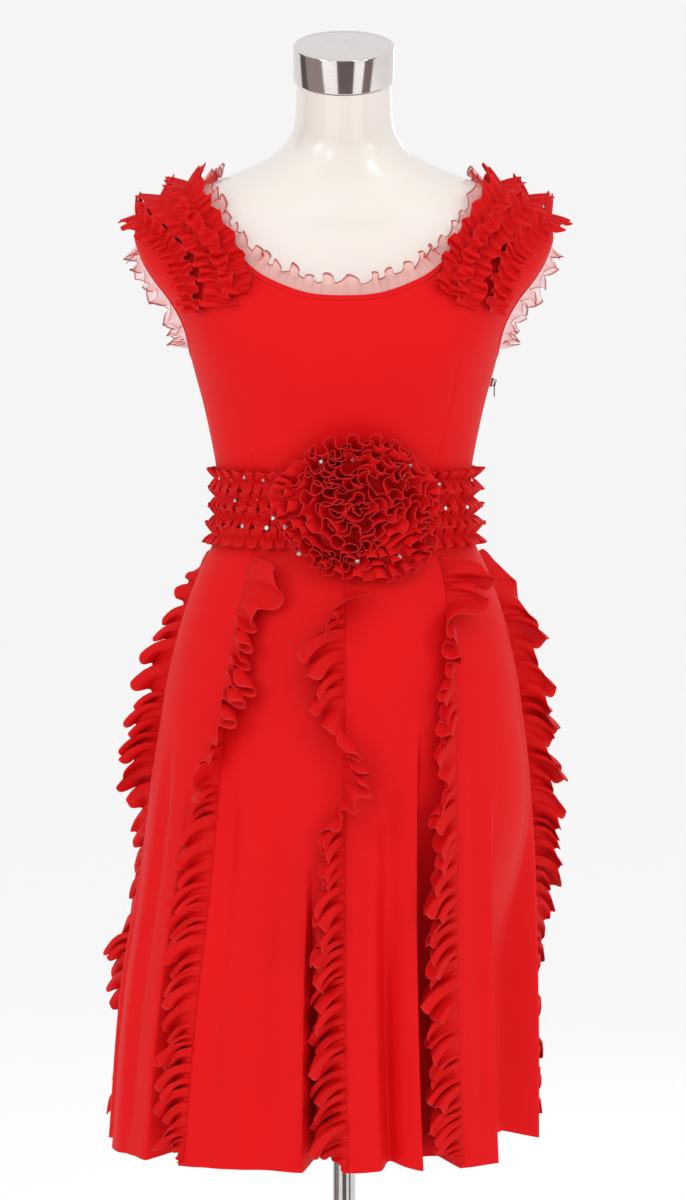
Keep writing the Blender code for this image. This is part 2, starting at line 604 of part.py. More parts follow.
def shoulder_frill(name, side, line):
    """A strip gathered down its middle, from the front of a strap to the back."""
    angles = list(line.angles) + [180 - a for a in line.angles[-2::-1]]
    heights = list(line.heights) + list(line.heights[-2::-1])
    path = np.array([on_body(side * a, h, 0) for a, h in zip(angles, heights)])
    steps = np.linalg.norm(np.diff(path, axis=0), axis=1)
    along = np.concatenate(([0], np.cumsum(steps))) / steps.sum()
    waves, per = SHOULDER_FRILL["waves"], 4
    count = waves * per + 1
    share = np.linspace(0, 1, count)
    turn, level = np.interp(share, along, angles), np.interp(share, along, heights)
    out = OFF_FORM + CLOTH + FRILL / 2 + SHOULDER_FRILL["off"]
    middle = np.array([on_body(side * a, h, out) for a, h in zip(turn, level)])
    rows = [[], [], []]
    for j in range(count):
        tangent = middle[min(j + 1, count - 1)] - middle[max(j - 1, 0)]
        tangent /= np.linalg.norm(tangent)
        normal = skin_normal(side * turn[j], level[j])
        across = np.cross(normal, tangent)
        swing = math.sin(2 * math.pi * waves * share[j])
        for row, reach in zip(rows, (-1.0, 0.0, 1.0)):
            lift = (SHOULDER_FRILL["lift"] + SHOULDER_FRILL["wave"] * swing * reach
                    + SHOULDER_FRILL["crest"] * math.sin(math.pi * share[j]) ** 2)
            row.append(middle[j] + across * SHOULDER_FRILL["half"] * reach
                       + normal * lift * abs(reach))
    cloth(name, rows, FRILL_RED, FRILL)


for number, line in enumerate(SHOULDER_ROWS, 1):
    shoulder_frill("shoulder_frill_left_%d" % number, 1, line)
    shoulder_frill("shoulder_frill_right_%d" % number, -1, line)


def on_waistband(angle, height, off):
    """A point off the waistband's outer face, straight between its rows of points."""
    at = min(int(np.searchsorted(WAIST_LEVELS, height, "right")), len(WAIST_LEVELS) - 1)
    lower, upper = WAIST_LEVELS[at - 1], WAIST_LEVELS[at]
    ends = [on_body(angle, level, OFF_FORM + CLOTH) for level in (lower, upper)]
    share = (height - lower) / (upper - lower)
    return ends[0] + (ends[1] - ends[0]) * share + off * skin_normal(angle, height)


cloth("waistband",
      [[on_body(360.0 * j / WAIST_COLUMNS, level, OFF_FORM) for j in range(WAIST_COLUMNS)]
       for level in WAIST_LEVELS], RED, CLOTH, 1.0, loop=True)

ROSETTE_ANGLE = angle_across(ROSETTE["x"], ROSETTE["height"])


def waist_frill(name, level, phase):
    """A strip gathered down its middle round the waist, flat under the rosette."""
    waves = WAIST_ROW["waves"]
    rows = [[], [], []]
    for j in range(WAIST_COLUMNS):
        angle = 360.0 * j / WAIST_COLUMNS
        away = abs((angle - ROSETTE_ANGLE + 180) % 360 - 180)
        free = ease((away - 38) / 16)
        lift = UNDER_ROSETTE["lift"] + (WAIST_ROW["lift"] - UNDER_ROSETTE["lift"]) * free
        wave = UNDER_ROSETTE["wave"] + (WAIST_ROW["wave"] - UNDER_ROSETTE["wave"]) * free
        swing = math.sin(2 * math.pi * (waves * j / WAIST_COLUMNS + phase))
        for row, reach in zip(rows, (-1, 0, 1)):
            off = FRILL / 2 + WAIST_ROW["off"] + abs(reach) * (lift + wave * swing)
            row.append(on_waistband(angle, level + WAIST_ROW["half"] * reach, off))
    cloth(name, rows, FRILL_RED, FRILL, loop=True)


for number, level in enumerate(WAIST_ROWS, 1):
    waist_frill("waist_frill_%d" % number, level, 0.27 * number)


def on_rosette(u, v, out):
    """A point seen u across and v above the rosette's middle, `out` off its base."""
    height = ROSETTE["height"] + v
    lower = max(-v, 0.0) * ROSETTE["sag"]
    angle = angle_across(ROSETTE["x"] + u, height)
    return on_body(angle, height, ROSETTE["out"] + lower + out)


def ring_of_rosette(turn, radius, out):
    """A point at a turn and radius of the slightly wide rosette."""
    u = math.cos(turn) * radius * ROSETTE["wide"]
    v = math.sin(turn) * radius * ROSETTE["tall"]
    return on_rosette(u, v, out)


disc = [on_rosette(0, 0, 0)]
disc_faces = []
spokes, hoops = 20, 3
for hoop in range(1, hoops + 1):
    for j in range(spokes):
        disc.append(ring_of_rosette(2 * math.pi * j / spokes,
                                    ROSETTE_BASE * hoop / hoops, 0))
for j in range(spokes):
    disc_faces.append((0, 1 + j, 1 + (j + 1) % spokes))
    for hoop in range(hoops - 1):
        inner, outer = 1 + hoop * spokes, 1 + (hoop + 1) * spokes
        disc_faces.append((inner + j, outer + j, outer + (j + 1) % spokes,
                           inner + (j + 1) % spokes))
solidify(new_object("rosette_base", disc, disc_faces, FRILL_RED), FRILL, 1.0)

for number, petals in enumerate(ROSETTE_RINGS, 1):
    count = petals.waves * 5
    lean = math.radians(petals.lean)
    rows = [[], []]
    for j in range(count):
        turn = 2 * math.pi * j / count
        swing = petals.wave * math.sin(petals.waves * turn + number)
        for row, reach in zip(rows, (0.0, 1.0)):
            radius = (petals.radius + petals.width * math.sin(lean) * reach
                      + swing * math.cos(lean) * reach)
            out = (FRILL + ROSETTE_FOOT + petals.width * math.cos(lean) * reach
                   - swing * math.sin(lean) * reach)
            row.append(ring_of_rosette(turn, radius, out))
    cloth("rosette_frill_%d" % number, rows, FRILL_RED, FRILL, loop=True)

# The skirt: eight gores with their folds, and a gathered frill in each seam.
for number, folds in enumerate(GORES):
    grid = []
    for height in SKIRT_HEIGHTS[::-1]:
        first, last = seam_angle(number, height), seam_angle(number + 1, height)
        reach = np.linalg.norm(cone(first, height)[:2])
        half = math.degrees(SEAM / 2 / reach)
        row = []
        for fold in folds:
            angle = first + (last - first) * fold.across
            angle = min(max(angle, first + half), last - half)
            row.append(cone(angle, height, fold_depth(fold, height)))
        grid.append(row)
    cloth("skirt_gore_%s" % SEAMS[number].name, grid, RED, CLOTH, -1.0)

for number, frill in enumerate(SKIRT_FRILLS):
    count = FRILL_SIZE["waves"] * FRILL_SIZE["steps"] + 1
    levels = np.linspace(frill.top, HEM + 0.004, count)
    rows = [[], []]
    for j, height in enumerate(levels):
        angle = seam_angle(frill.seam, height)
        normal, level_way = cone_frame(angle, height)
        root = (on_seam(frill.seam, height) + normal * FRILL_SIZE["off"]
                - level_way * FRILL_SIZE["aside"])
        lean = math.radians(lean_at(frill.heights, frill.leans, height))
        way = normal * math.cos(lean) + level_way * math.sin(lean)
        across = level_way * math.cos(lean) - normal * math.sin(lean)
        begins = ease((frill.top - height) / frill.grows * 0.75 + 0.25)
        ends = 0.75 + 0.25 * ease((height - HEM) / 0.03)
        swing = math.sin(2 * math.pi * FRILL_SIZE["waves"] * j / (count - 1) + number)
        rows[0].append(root)
        rows[1].append(root + way * FRILL_SIZE["width"] * begins * ends
                       + across * FRILL_SIZE["wave"] * begins * swing)
    cloth("skirt_frill_%s" % SEAMS[frill.seam].name, rows, FRILL_RED, FRILL)

# The zip's slider on the left side seam and its pull tab, which hangs plumb.
zip_out = skin_normal(ZIP["angle"], ZIP["height"])
zip_up = np.cross(zip_out, (0.0, 1.0, 0.0))
zip_up = zip_up / np.linalg.norm(zip_up)
zip_across = np.cross(zip_up, zip_out)
zip_axes = (zip_out, zip_across, zip_up)
plumb_axes = np.identity(3)
seat = on_body(ZIP["angle"], ZIP["height"], OFF_FORM + CLOTH + SEAM)


def cutter(name, centre, size, axes):
    """A box in the cutters' collection, hidden in renders."""
    corners, faces = box(centre, size, axes)
    mesh = bpy.data.meshes.new(name)
    mesh.from_pydata([tuple(v) for v in corners], [], faces)
    made = bpy.data.objects.new(name, mesh)
    made.hide_render = True
    made.display_type = "WIRE"
    cutters.objects.link(made)
    return made


def boolean(made, other, operation):
    """Join or cut two solids exactly."""
    step = made.modifiers.new(operation.lower(), "BOOLEAN")
    step.operation = operation
    step.solver = "EXACT"
    step.object = other


# The arch starts inside the slider and its window ends inside it, so no faces meet.
bar = PULL["thick"] / 2
arch_foot = SLIDER["thick"] / 4
arch_top = SLIDER["thick"] + ARCH["gap"] + ARCH["thick"]
arch_middle = seat + zip_up * ARCH["above"]
arch = cutter("arch_block", arch_middle + zip_out * (arch_foot + arch_top) / 2,
              (arch_top - arch_foot, ARCH["wide"], ARCH["tall"]), zip_axes)
window = cutter("arch_window",
                arch_middle + zip_out * (SLIDER["thick"] + ARCH["gap"] / 2 - bar),
                (ARCH["gap"] + 2 * bar, SLIDER["wide"], ARCH["tall"] - 2 * ARCH["thick"]),
                zip_axes)
boolean(arch, window, "DIFFERENCE")
corners, faces = box(seat + zip_out * SLIDER["thick"] / 2,
                     (SLIDER["thick"], SLIDER["wide"], SLIDER["tall"]), zip_axes)
slider = new_object("zip_slider", corners, faces, ZIP_METAL)
boolean(slider, arch, "UNION")

hinge = seat + zip_out * (SLIDER["thick"] + ARCH["gap"] / 2) + zip_up * HINGE_ABOVE
corners, faces = box(np.array((0, 0, bar - PULL["tall"] / 2)),
                     (PULL["thick"], PULL["wide"], PULL["tall"]), plumb_axes)
pull = new_object("zip_pull", corners, faces, ZIP_METAL)
pull.location = tuple(hinge)
slot = cutter("pull_slot", hinge - np.array((0, 0, bar + PULL["slot_tall"] / 2)),
              (PULL["thick"] * 3, PULL["slot_wide"], PULL["slot_tall"]), plumb_axes)
boolean(pull, slot, "DIFFERENCE")
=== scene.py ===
import bmesh
import bpy
import numpy as np
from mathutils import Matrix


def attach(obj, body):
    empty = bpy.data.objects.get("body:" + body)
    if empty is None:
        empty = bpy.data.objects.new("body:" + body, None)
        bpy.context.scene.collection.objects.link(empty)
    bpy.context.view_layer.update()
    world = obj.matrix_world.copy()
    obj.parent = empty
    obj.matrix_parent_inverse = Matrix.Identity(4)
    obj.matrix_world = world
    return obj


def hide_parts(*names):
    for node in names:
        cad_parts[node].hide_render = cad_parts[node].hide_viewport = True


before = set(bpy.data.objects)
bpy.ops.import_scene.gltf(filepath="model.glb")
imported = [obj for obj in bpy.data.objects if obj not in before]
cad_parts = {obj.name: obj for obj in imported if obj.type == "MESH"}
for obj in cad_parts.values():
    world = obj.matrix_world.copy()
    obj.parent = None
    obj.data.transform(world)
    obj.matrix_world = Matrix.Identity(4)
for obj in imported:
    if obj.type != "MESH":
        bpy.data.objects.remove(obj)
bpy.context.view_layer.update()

# A party dress with gathered frills on a limbless dress form. Metres, +Z up; the pole is on
# the Z axis, the front faces -Y and the wearer's left is +X. Angles run from 0 at the front
# through 90 at the wearer's left. The stand and the form come first, then the dress from
# the bodice to the skirt, and the studio last.


# Base plate and pole: a turned disc of steel, 330 mm across, its top brushed in circles, and
# a chrome-plated tube of 21.6 mm that is screwed into its middle and carries the form.

BODY = "dress_and_form"
POLE_RADIUS = 0.0108
PLATE_RADIUS = 0.165
PLATE_THICK = 0.008
POLE_GAP = 0.0004
PLATE_EDGE, POLE_EDGE = 0.002, 0.0006
FORM_BOTTOM = 0.800


def linear(hex_colour):
    """An sRGB hex colour as linear red, green and blue with alpha 1."""
    srgb = np.array([int(hex_colour[i:i + 2], 16) for i in (1, 3, 5)]) / 255
    return (*np.where(srgb <= 0.04045, srgb / 12.92, ((srgb + 0.055) / 1.055) ** 2.4), 1.0)


def add(tree, kind, inputs=None, **properties):
    """Adds a node. An input is a value, or a (node, output) pair that it is linked to."""
    node = tree.nodes.new(kind)
    for name, value in properties.items():
        setattr(node, name, value)
    for name, value in (inputs or {}).items():
        if isinstance(value, tuple) and isinstance(value[0], bpy.types.Node):
            tree.links.new(value[0].outputs[value[1]], node.inputs[name])
        else:
            node.inputs[name].default_value = value
    return node


def empty_material(name):
    """A material with no nodes yet, and its node tree."""
    made = bpy.data.materials.new(name)
    made.use_nodes = True
    made.node_tree.nodes.clear()
    return made, made.node_tree


def fit(piece, node=None):
    """Hides the frame's node that a piece stands for, if given, and ties the piece to the
    dress's body.
    """
    if node:
        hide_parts(node)
    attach(piece, BODY)


def surface(name, grids, material, loop=False, caps=False, edge=None):
    """A mesh through grids of points, rows upwards and columns towards the wearer's left.

    Each four neighbours make a face that looks outwards. The UV map is in metres: u is the
    mean length along the columns and v the mean length up the rows. `edge` goes into an
    attribute of that name, from 0 inside a piece of cloth to 1 at its raw or rolled edge, or
    the painted shade of steep folds; materials paint a highlight or shade by it.
    """
    places, quads, ends, uvs, edges, first = [], [], [], [], [], 0
    for number, grid in enumerate(grids):
        rows, columns = grid.shape[:2]
        index = first + np.arange(rows * columns).reshape(rows, columns)
        around = np.linalg.norm(np.diff(grid, axis=1), axis=2).mean(axis=0)
        upwards = np.linalg.norm(np.diff(grid, axis=0), axis=2).mean(axis=1)
        u, v = np.meshgrid(np.append(0, np.cumsum(around)), np.append(0, np.cumsum(upwards)))
        if loop:
            index = np.hstack((index, index[:, :1]))
        quads.append(np.stack((index[:-1, :-1], index[:-1, 1:], index[1:, 1:],
                               index[1:, :-1]), axis=-1).reshape(-1, 4))
        if caps:
            ends += [index[0, :columns][::-1].tolist(), index[-1, :columns].tolist()]
        places.append(grid.reshape(-1, 3))
        uvs.append(np.stack((u, v), axis=-1).reshape(-1, 2))
        edges.append(np.zeros(rows * columns) if edge is None
                     else np.broadcast_to(edge[number], (rows, columns)).ravel())
        first += rows * columns
    mesh = bpy.data.meshes.new(name)
    mesh.from_pydata(np.concatenate(places).tolist(), [],
                     np.concatenate(quads).tolist() + ends)
    corners = np.zeros(len(mesh.loops), np.int32)
    mesh.loops.foreach_get("vertex_index", corners)
    mesh.uv_layers.new(name="metres").data.foreach_set(
        "uv", np.concatenate(uvs)[corners].ravel())
    mesh.attributes.new("edge", "FLOAT", "POINT").data.foreach_set(
        "value", np.concatenate(edges).astype(np.float32))
    if len(grids) > 1:
        joined = bmesh.new()
        joined.from_mesh(mesh)
        bmesh.ops.remove_doubles(joined, verts=joined.verts, dist=1e-6)
        joined.to_mesh(mesh)
        joined.free()
    mesh.polygons.foreach_set("use_smooth", np.ones(len(mesh.polygons), bool))
    mesh.materials.append(material)
    made = bpy.data.objects.new(name, mesh)
    bpy.context.scene.collection.objects.link(made)
    return made


def turned(profile, columns=96):
    """A profile of (radius, height) points spun on Z: x = r sin a, y = -r cos a, z = h."""
    turn = np.linspace(0, 2 * np.pi, columns, endpoint=False)
    radius, height = np.array(profile).T[:, :, None]
    return np.stack((radius * np.sin(turn), -radius * np.cos(turn),
                     np.broadcast_to(height, (len(profile), columns))), axis=-1)


def rounded(radius, low, high, edge, steps=5):
    """Profile of a disc from its flat underside up to its flat top, with round rims.

    Each rim is a quarter circle of radius `edge`: (r - e + e sin t, low + e - e cos t).
    """
    t = np.linspace(0, np.pi / 2, steps)
    rim = np.stack((radius - edge + edge * np.sin(t), edge - edge * np.cos(t)), axis=-1)
    under = rim + (0, low)
    over = rim[::-1] * (1, -1) + (0, high)
    inside = radius - 3 * edge
    return np.concatenate(([(inside, low)], under, over, [(inside, high)]))


def brushed_metal(name, colour, roughness, brushing_mm, depth):
    """Metal rubbed with grit in one direction: long fine scratches that blur a reflection
    across them. They follow u, are about 80 mm long, and are drawn as coarse as shows."""
    made, tree = empty_material(name)
    where = add(tree, "ShaderNodeUVMap", uv_map="metres")
    along = add(tree, "ShaderNodeMapping",
                {"Vector": (where, "UV"), "Scale": (12.0, 1000 / brushing_mm, 1.0)})
    scratches = add(tree, "ShaderNodeTexNoise",
                    {"Vector": (along, "Vector"), "Scale": 1.0, "Detail": 3.0})
    rough = add(tree, "ShaderNodeMapRange",
                {"Value": (scratches, "Fac"), "To Min": roughness - depth,
                 "To Max": roughness + depth})
    tint = add(tree, "ShaderNodeMix",
               {"Factor": (scratches, "Fac"), "A": linear(colour),
                "B": tuple(0.82 * c for c in linear(colour)[:3]) + (1.0,)},
               data_type="RGBA")
    bump = add(tree, "ShaderNodeBump", {"Height": (scratches, "Fac"), "Strength": 0.06,
                                        "Distance": 0.0002})
    shader = add(tree, "ShaderNodeBsdfPrincipled",
                 {"Base Color": (tint, "Result"), "Metallic": 1.0,
                  "Roughness": (rough, "Result"), "Normal": (bump, "Normal")})
    add(tree, "ShaderNodeOutputMaterial", {"Surface": (shader, "BSDF")})
    return made


plate = surface("base_plate_turned",
                [turned(rounded(PLATE_RADIUS, 0, PLATE_THICK, PLATE_EDGE))],
                brushed_metal("brushed steel plate", "#B4B4B6", 0.36, 1.2, 0.06),
                loop=True, caps=True)
fit(plate, "base_plate")

pole = surface("pole_tube",
               [turned(rounded(POLE_RADIUS, PLATE_THICK + POLE_GAP, FORM_BOTTOM - POLE_GAP,
                               POLE_EDGE, steps=3), columns=48)],
               brushed_metal("chrome-plated tube", "#D2D0D0", 0.12, 4.0, 0.03),
               loop=True, caps=True)
fit(pole, "pole")


# Dress form: a hollow shell of glass fibre and resin, sprayed with glossy cream gelcoat. It
# has no arms; its shoulders end in smooth rounds and its underside is flat, at the hip.

# height, half width, front, back, lean, tilt, squareness
RINGS = (
    (FORM_BOTTOM, 0.1500, 0.0900, 0.1000, 0.000, 0, 0.03),
    (0.840, 0.1570, 0.0960, 0.1100, 0.000, 0, 0.03),
    (0.885, 0.1580, 0.0990, 0.1130, 0.000, 0, 0.03),
    (0.940, 0.1470, 0.0960, 0.1070, 0.000, 0, 0.03),
    (0.985, 0.1310, 0.0900, 0.0910, 0.000, 0, 0.03),
    (1.015, 0.1210, 0.0870, 0.0820, 0.000, 0, 0.03),
    (1.045, 0.1170, 0.0860, 0.0760, 0.000, 0, 0.03),
    (1.083, 0.1180, 0.0890, 0.0770, 0.000, 0, 0.03),
    (1.115, 0.1235, 0.0960, 0.0810, 0.000, 0, 0.03),
    (1.149, 0.1310, 0.1040, 0.0880, 0.000, 0, 0.035),
    (1.175, 0.1380, 0.1100, 0.0920, 0.000, 0, 0.045),
    (1.201, 0.1450, 0.1130, 0.0960, 0.000, 0, 0.06),
    (1.222, 0.1520, 0.1110, 0.0980, 0.000, 0, 0.085),
    (1.244, 0.1630, 0.1060, 0.0970, 0.000, 0, 0.12),
    (1.265, 0.1770, 0.0980, 0.0940, 0.000, 0, 0.15),
    (1.285, 0.1870, 0.0900, 0.0900, 0.000, 0, 0.17),
    (1.305, 0.1925, 0.0820, 0.0840, 0.000, 0, 0.17),
    (1.325, 0.1835, 0.0750, 0.0760, 0.000, 0, 0.15),
    (1.343, 0.1540, 0.0680, 0.0670, 0.000, 0, 0.11),
    (1.353, 0.1280, 0.0640, 0.0620, 0.000, 0, 0.08),
    (1.367, 0.0920, 0.0590, 0.0560, 0.001, 0, 0.04),
    (1.380, 0.0670, 0.0540, 0.0510, 0.004, 3, 0.02),
    (1.395, 0.0520, 0.0480, 0.0460, 0.010, 9, 0.01),
    (1.410, 0.0465, 0.0455, 0.0445, 0.017, 15, 0.0),
    (1.449, 0.0445, 0.0445, 0.0445, 0.032, 20, 0.0),
)
BUST = {"angle": 33.0, "height": 1.208, "swell": 0.012, "wide": 17.0, "tall": 0.040}
FORM_ROWS = 170
FORM_COLUMNS = 128
FORM_FOOT = {"inset": 0.97, "rounding": 0.0015}
# degrees and metres on either side of a point that its normal is measured over
SKIN_STEP = (0.25, 0.0005)


def between(table, at):
    """Columns of a table read at its first column, on a smooth curve: cubic Hermite, with
    the slope at each row taken from the rows on either side."""
    table = np.asarray(table, float)
    table = table[np.argsort(table[:, 0])]
    at = np.asarray(at, float)
    k = np.clip(np.searchsorted(table[:, 0], at) - 1, 0, len(table) - 2)
    low, high = table[k], table[k + 1]
    under, over = table[np.maximum(k - 1, 0)], table[np.minimum(k + 2, len(table) - 1)]
    step = high[..., :1] - low[..., :1]
    u = (at[..., None] - low[..., :1]) / step
    leave = (high - under) / (high[..., :1] - under[..., :1]) * step
    arrive = (over - low) / (over[..., :1] - low[..., :1]) * step
    found = ((2 * u**3 - 3 * u**2 + 1) * low + (u**3 - 2 * u**2 + u) * leave
             + (3 * u**2 - 2 * u**3) * high + (u**3 - u**2) * arrive)
    return np.moveaxis(found[..., 1:], -1, 0)


def skin(angle, height, bridged=True):
    """Points of the form's skin: a level ellipse, squared a little by (1 - cos 4a) / 2, with
    two soft bell-shaped mounds at the bust, which cloth bridges and the form does not."""
    angle, height = np.broadcast_arrays(np.asarray(angle, float), np.asarray(height, float))
    half, front, back, lean, tilt, square = between(RINGS, height)
    turn = np.radians(angle)
    fuller = 1 + square * (1 - np.cos(4 * turn)) / 2
    away = np.abs((angle + 180) % 360 - 180)
    off = np.maximum(away - BUST["angle"], 0) if bridged else away - BUST["angle"]
    swell = BUST["swell"] * np.exp(-0.5 * (off / BUST["wide"]) ** 2
                                   - 0.5 * ((height - BUST["height"]) / BUST["tall"]) ** 2)
    y = -np.cos(turn) * (np.where(np.cos(turn) > 0, front, back) * fuller + swell)
    return np.stack((np.sin(turn) * (half * fuller + swell), y - lean,
                     height + np.tan(np.radians(tilt)) * y), axis=-1)


def unit(vectors):
    """The vectors at length 1."""
    return vectors / np.linalg.norm(vectors, axis=-1, keepdims=True)


def skin_normal(angle, height):
    """The skin's outward normal, from small steps round and up."""
    angle, height = np.asarray(angle, float), np.asarray(height, float)
    turn, rise = SKIN_STEP
    return unit(np.cross(skin(angle + turn, height) - skin(angle - turn, height),
                         skin(angle, height + rise) - skin(angle, height - rise)))


def on_body(angle, height, out):
    """A point `out` metres off the form's skin."""
    return skin(angle, height) + np.asarray(out)[..., None] * skin_normal(angle, height)


def gelcoat(name, colour, shade):
    """Sprayed gelcoat: a hard clear gloss over an even cream, a little uneven in tone and
    with the faint orange peel that spraying leaves, about 6 mm from crest to crest."""
    made, tree = empty_material(name)
    place = add(tree, "ShaderNodeTexCoord")
    cloudy = add(tree, "ShaderNodeTexNoise",
                 {"Vector": (place, "Object"), "Scale": 1000 / 90, "Detail": 2.0})
    tint = add(tree, "ShaderNodeMix", {"Factor": (cloudy, "Fac"), "A": linear(colour),
                                       "B": linear(shade)}, data_type="RGBA")
    peel = add(tree, "ShaderNodeTexNoise",
               {"Vector": (place, "Object"), "Scale": 1000 / 6, "Detail": 1.0})
    bump = add(tree, "ShaderNodeBump", {"Height": (peel, "Fac"), "Strength": 0.05,
                                        "Distance": 0.0005})
    shader = add(tree, "ShaderNodeBsdfPrincipled",
                 {"Base Color": (tint, "Result"), "Roughness": 0.30, "IOR": 1.5,
                  "Coat Weight": 0.6, "Coat Roughness": 0.08, "Normal": (bump, "Normal")})
    add(tree, "ShaderNodeOutputMaterial", {"Surface": (shader, "BSDF")})
    return made


levels = np.linspace(FORM_BOTTOM, RINGS[-1][0], FORM_ROWS)[:, None]
rounds = np.arange(FORM_COLUMNS) * 360 / FORM_COLUMNS
form_grid = skin(rounds, levels, bridged=False)
foot = form_grid[:1] * (FORM_FOOT["inset"], FORM_FOOT["inset"], 1)
form_grid = np.concatenate((foot, form_grid))
form_grid[1, :, 2] += FORM_FOOT["rounding"]
form = surface("dress_form_shell", [form_grid],
               gelcoat("cream gelcoat", "#E6DED7", "#E1D8D0"), loop=True, caps=True)
form.data.set_sharp_from_angle(angle=np.radians(50))
fit(form, "dress_form")


# Neck cap: a spun lid of stainless steel, 95 mm across and 34 mm tall, polished, with
# faint lines round its side. It closes the form's neck and leans forward with it.

CAP_RADIUS = 0.0475
CAP_TALL = 0.034
CAP_FOOT, CAP_EDGE = 0.0004, 0.0014
neck_height, _, _, _, neck_lean, neck_tilt, _ = RINGS[-1]


def tilted(grid):
    """Points turned forward about X by the neck's tilt and moved up to its top."""
    c, s = np.cos(np.radians(neck_tilt)), np.sin(np.radians(neck_tilt))
    x, y, z = np.moveaxis(grid, -1, 0)
    return np.stack((x, c * y - s * z - neck_lean, s * y + c * z + neck_height), axis=-1)


# the top is dished a little inside its rim: distance in from the side, and from the top
CAP_DISH = ((0.0030, 0.0), (0.0036, 0.0005), (0.0300, 0.0003))
cap_profile = np.concatenate((rounded(CAP_RADIUS, CAP_FOOT, CAP_TALL, CAP_EDGE, 6)[:-1],
                              (CAP_RADIUS, CAP_TALL) - np.array(CAP_DISH)))
cap = surface("neck_cap_spun", [tilted(turned(cap_profile, 128))],
              brushed_metal("polished stainless steel, spun", "#E8E2E0", 0.11, 2.0, 0.03),
              loop=True, caps=True)
cap.data.set_sharp_from_angle(angle=np.radians(40))
fit(cap, "neck_cap")


# Bodice: two panels of stretch crepe, front and back, joined at the side seams. The front
# has a long waist dart under each bust, and a narrow bias binding finishes the neckline.

OFF_FORM = 0.0014
CLOTH = 0.0015
SEAM = 0.0004
BODICE_WALL = 0.0009
BODICE_ROWS = 66
NECK_POINTS = 180
SIDE_REACH = 0.14
DART_REACH = 0.125
# the first rows of both tables below run up the side seam, as far as this one
SIDE_TOP = 3
# columns of a half panel from its middle: shares from and to, and how many
PANEL_COLUMNS = ((0, 0.40, 16), (0.42, 0.56, 26), (0.59, 1, 16))

# angle and height of the middle or neck edge, and the share round the armhole oval or, from
# -1 to 0, up the side seam
FRONT_EDGES = (
    (0.0, 1.0838, -1), (0.0, 1.1170, -0.67), (0.0, 1.1520, -0.33), (0.0, 1.1860, 0.00),
    (0.0, 1.2080, 0.07), (0.0, 1.2285, 0.14), (0.0, 1.2468, 0.21), (12.0, 1.2500, 0.25),
    (22.3, 1.2648, 0.29), (27.4, 1.2840, 0.33), (30.9, 1.3023, 0.37), (35.0, 1.3198, 0.405),
    (39.0, 1.3292, 0.43), (45.5, 1.3378, 0.45), (57.0, 1.3450, 0.467), (73.0, 1.3500, 0.483),
    (90.0, 1.3535, 0.50),
)
BACK_EDGES = (
    (0.0, 1.0838, -1), (0.0, 1.1170, -0.67), (0.0, 1.1520, -0.33), (0.0, 1.1860, 0.00),
    (0.0, 1.2090, 0.05), (0.0, 1.2320, 0.10), (0.0, 1.2550, 0.155), (0.0, 1.2780, 0.21),
    (9.0, 1.2800, 0.25), (19.0, 1.2880, 0.29), (26.0, 1.3000, 0.33), (31.5, 1.3130, 0.37),
    (36.5, 1.3230, 0.405), (41.0, 1.3310, 0.43), (47.5, 1.3388, 0.45), (58.0, 1.3450, 0.467),
    (73.0, 1.3500, 0.483), (90.0, 1.3535, 0.50),
)
ARMHOLE = {"height": 1.247, "half_turn": 24.0, "half_tall": 0.059, "band": 0.0085,
           "slit": 0.0035}
DEGREES_A_METRE = 320.0
DART = ((1.0838, 43.2), (1.1239, 44.7), (1.1523, 44.3), (1.1805, 41.5), (1.2034, 39.3))
DART_TROUGH = {"deep": 0.0010, "wide": 0.0019, "end": 0.030, "past": 0.004}


def armhole(share, grow=0.0):
    """Angle and height on the left armhole's oval, `grow` metres outside its outer edge."""
    turn = 2 * np.pi * share
    return (90 - (ARMHOLE["half_turn"] + grow * DEGREES_A_METRE) * np.sin(turn),
            ARMHOLE["height"] - (ARMHOLE["half_tall"] + grow) * np.cos(turn))


def ease(t):
    """Smooth step from 0 to 1: 3t^2 - 2t^3."""
    t = np.clip(t, 0, 1)
    return t * t * (3 - 2 * t)


def bodice_edge(table, at):
    """Inner and outer edge of a bodice half at row numbers: angle, height, angle, height.

    The neckline is smooth through the middle, because its rows are mirrored there.
    """
    numbered = np.column_stack((np.arange(len(table)), table))
    corner = max(k for k, row in enumerate(table) if row[0] == 0)
    mirrored = numbered[corner + 1:corner + 3] * (-1, -1, 1, 1) + (2 * corner, 0, 0, 0)
    neck = between(np.concatenate((mirrored, numbered[corner:])), at)
    straight = np.interp(at, numbered[:, 0], numbered[:, 2])
    inner_angle = np.where(at > corner, neck[0], 0)
    inner_height = np.where(at > corner, neck[1], straight)
    share = between(numbered[SIDE_TOP:], np.maximum(at, SIDE_TOP))[2]
    share = np.where(at > SIDE_TOP, np.clip(share, 0, 0.5), 0)
    slit = ARMHOLE["slit"] * np.sin(2 * np.pi * share) ** 2
    turn_angle, turn_height = armhole(share, SEAM + slit)
    side = table[0][1] + (turn_height - table[0][1]) * at / SIDE_TOP
    return (inner_angle, inner_height, turn_angle,
            np.where(at > SIDE_TOP, turn_height, side))


def dart_trough(angle, height):
    """Depth of the dart's sewn line, a soft trough along its curve that fades at its tip."""
    heights, angles = np.array(DART).T
    off = (np.abs(angle) - np.interp(height, heights, angles)) * np.radians(DART_REACH)
    fade = ease((heights[-1] + DART_TROUGH["past"] - height) / DART_TROUGH["end"])
    return -DART_TROUGH["deep"] * np.exp(-(off / DART_TROUGH["wide"]) ** 2) * fade


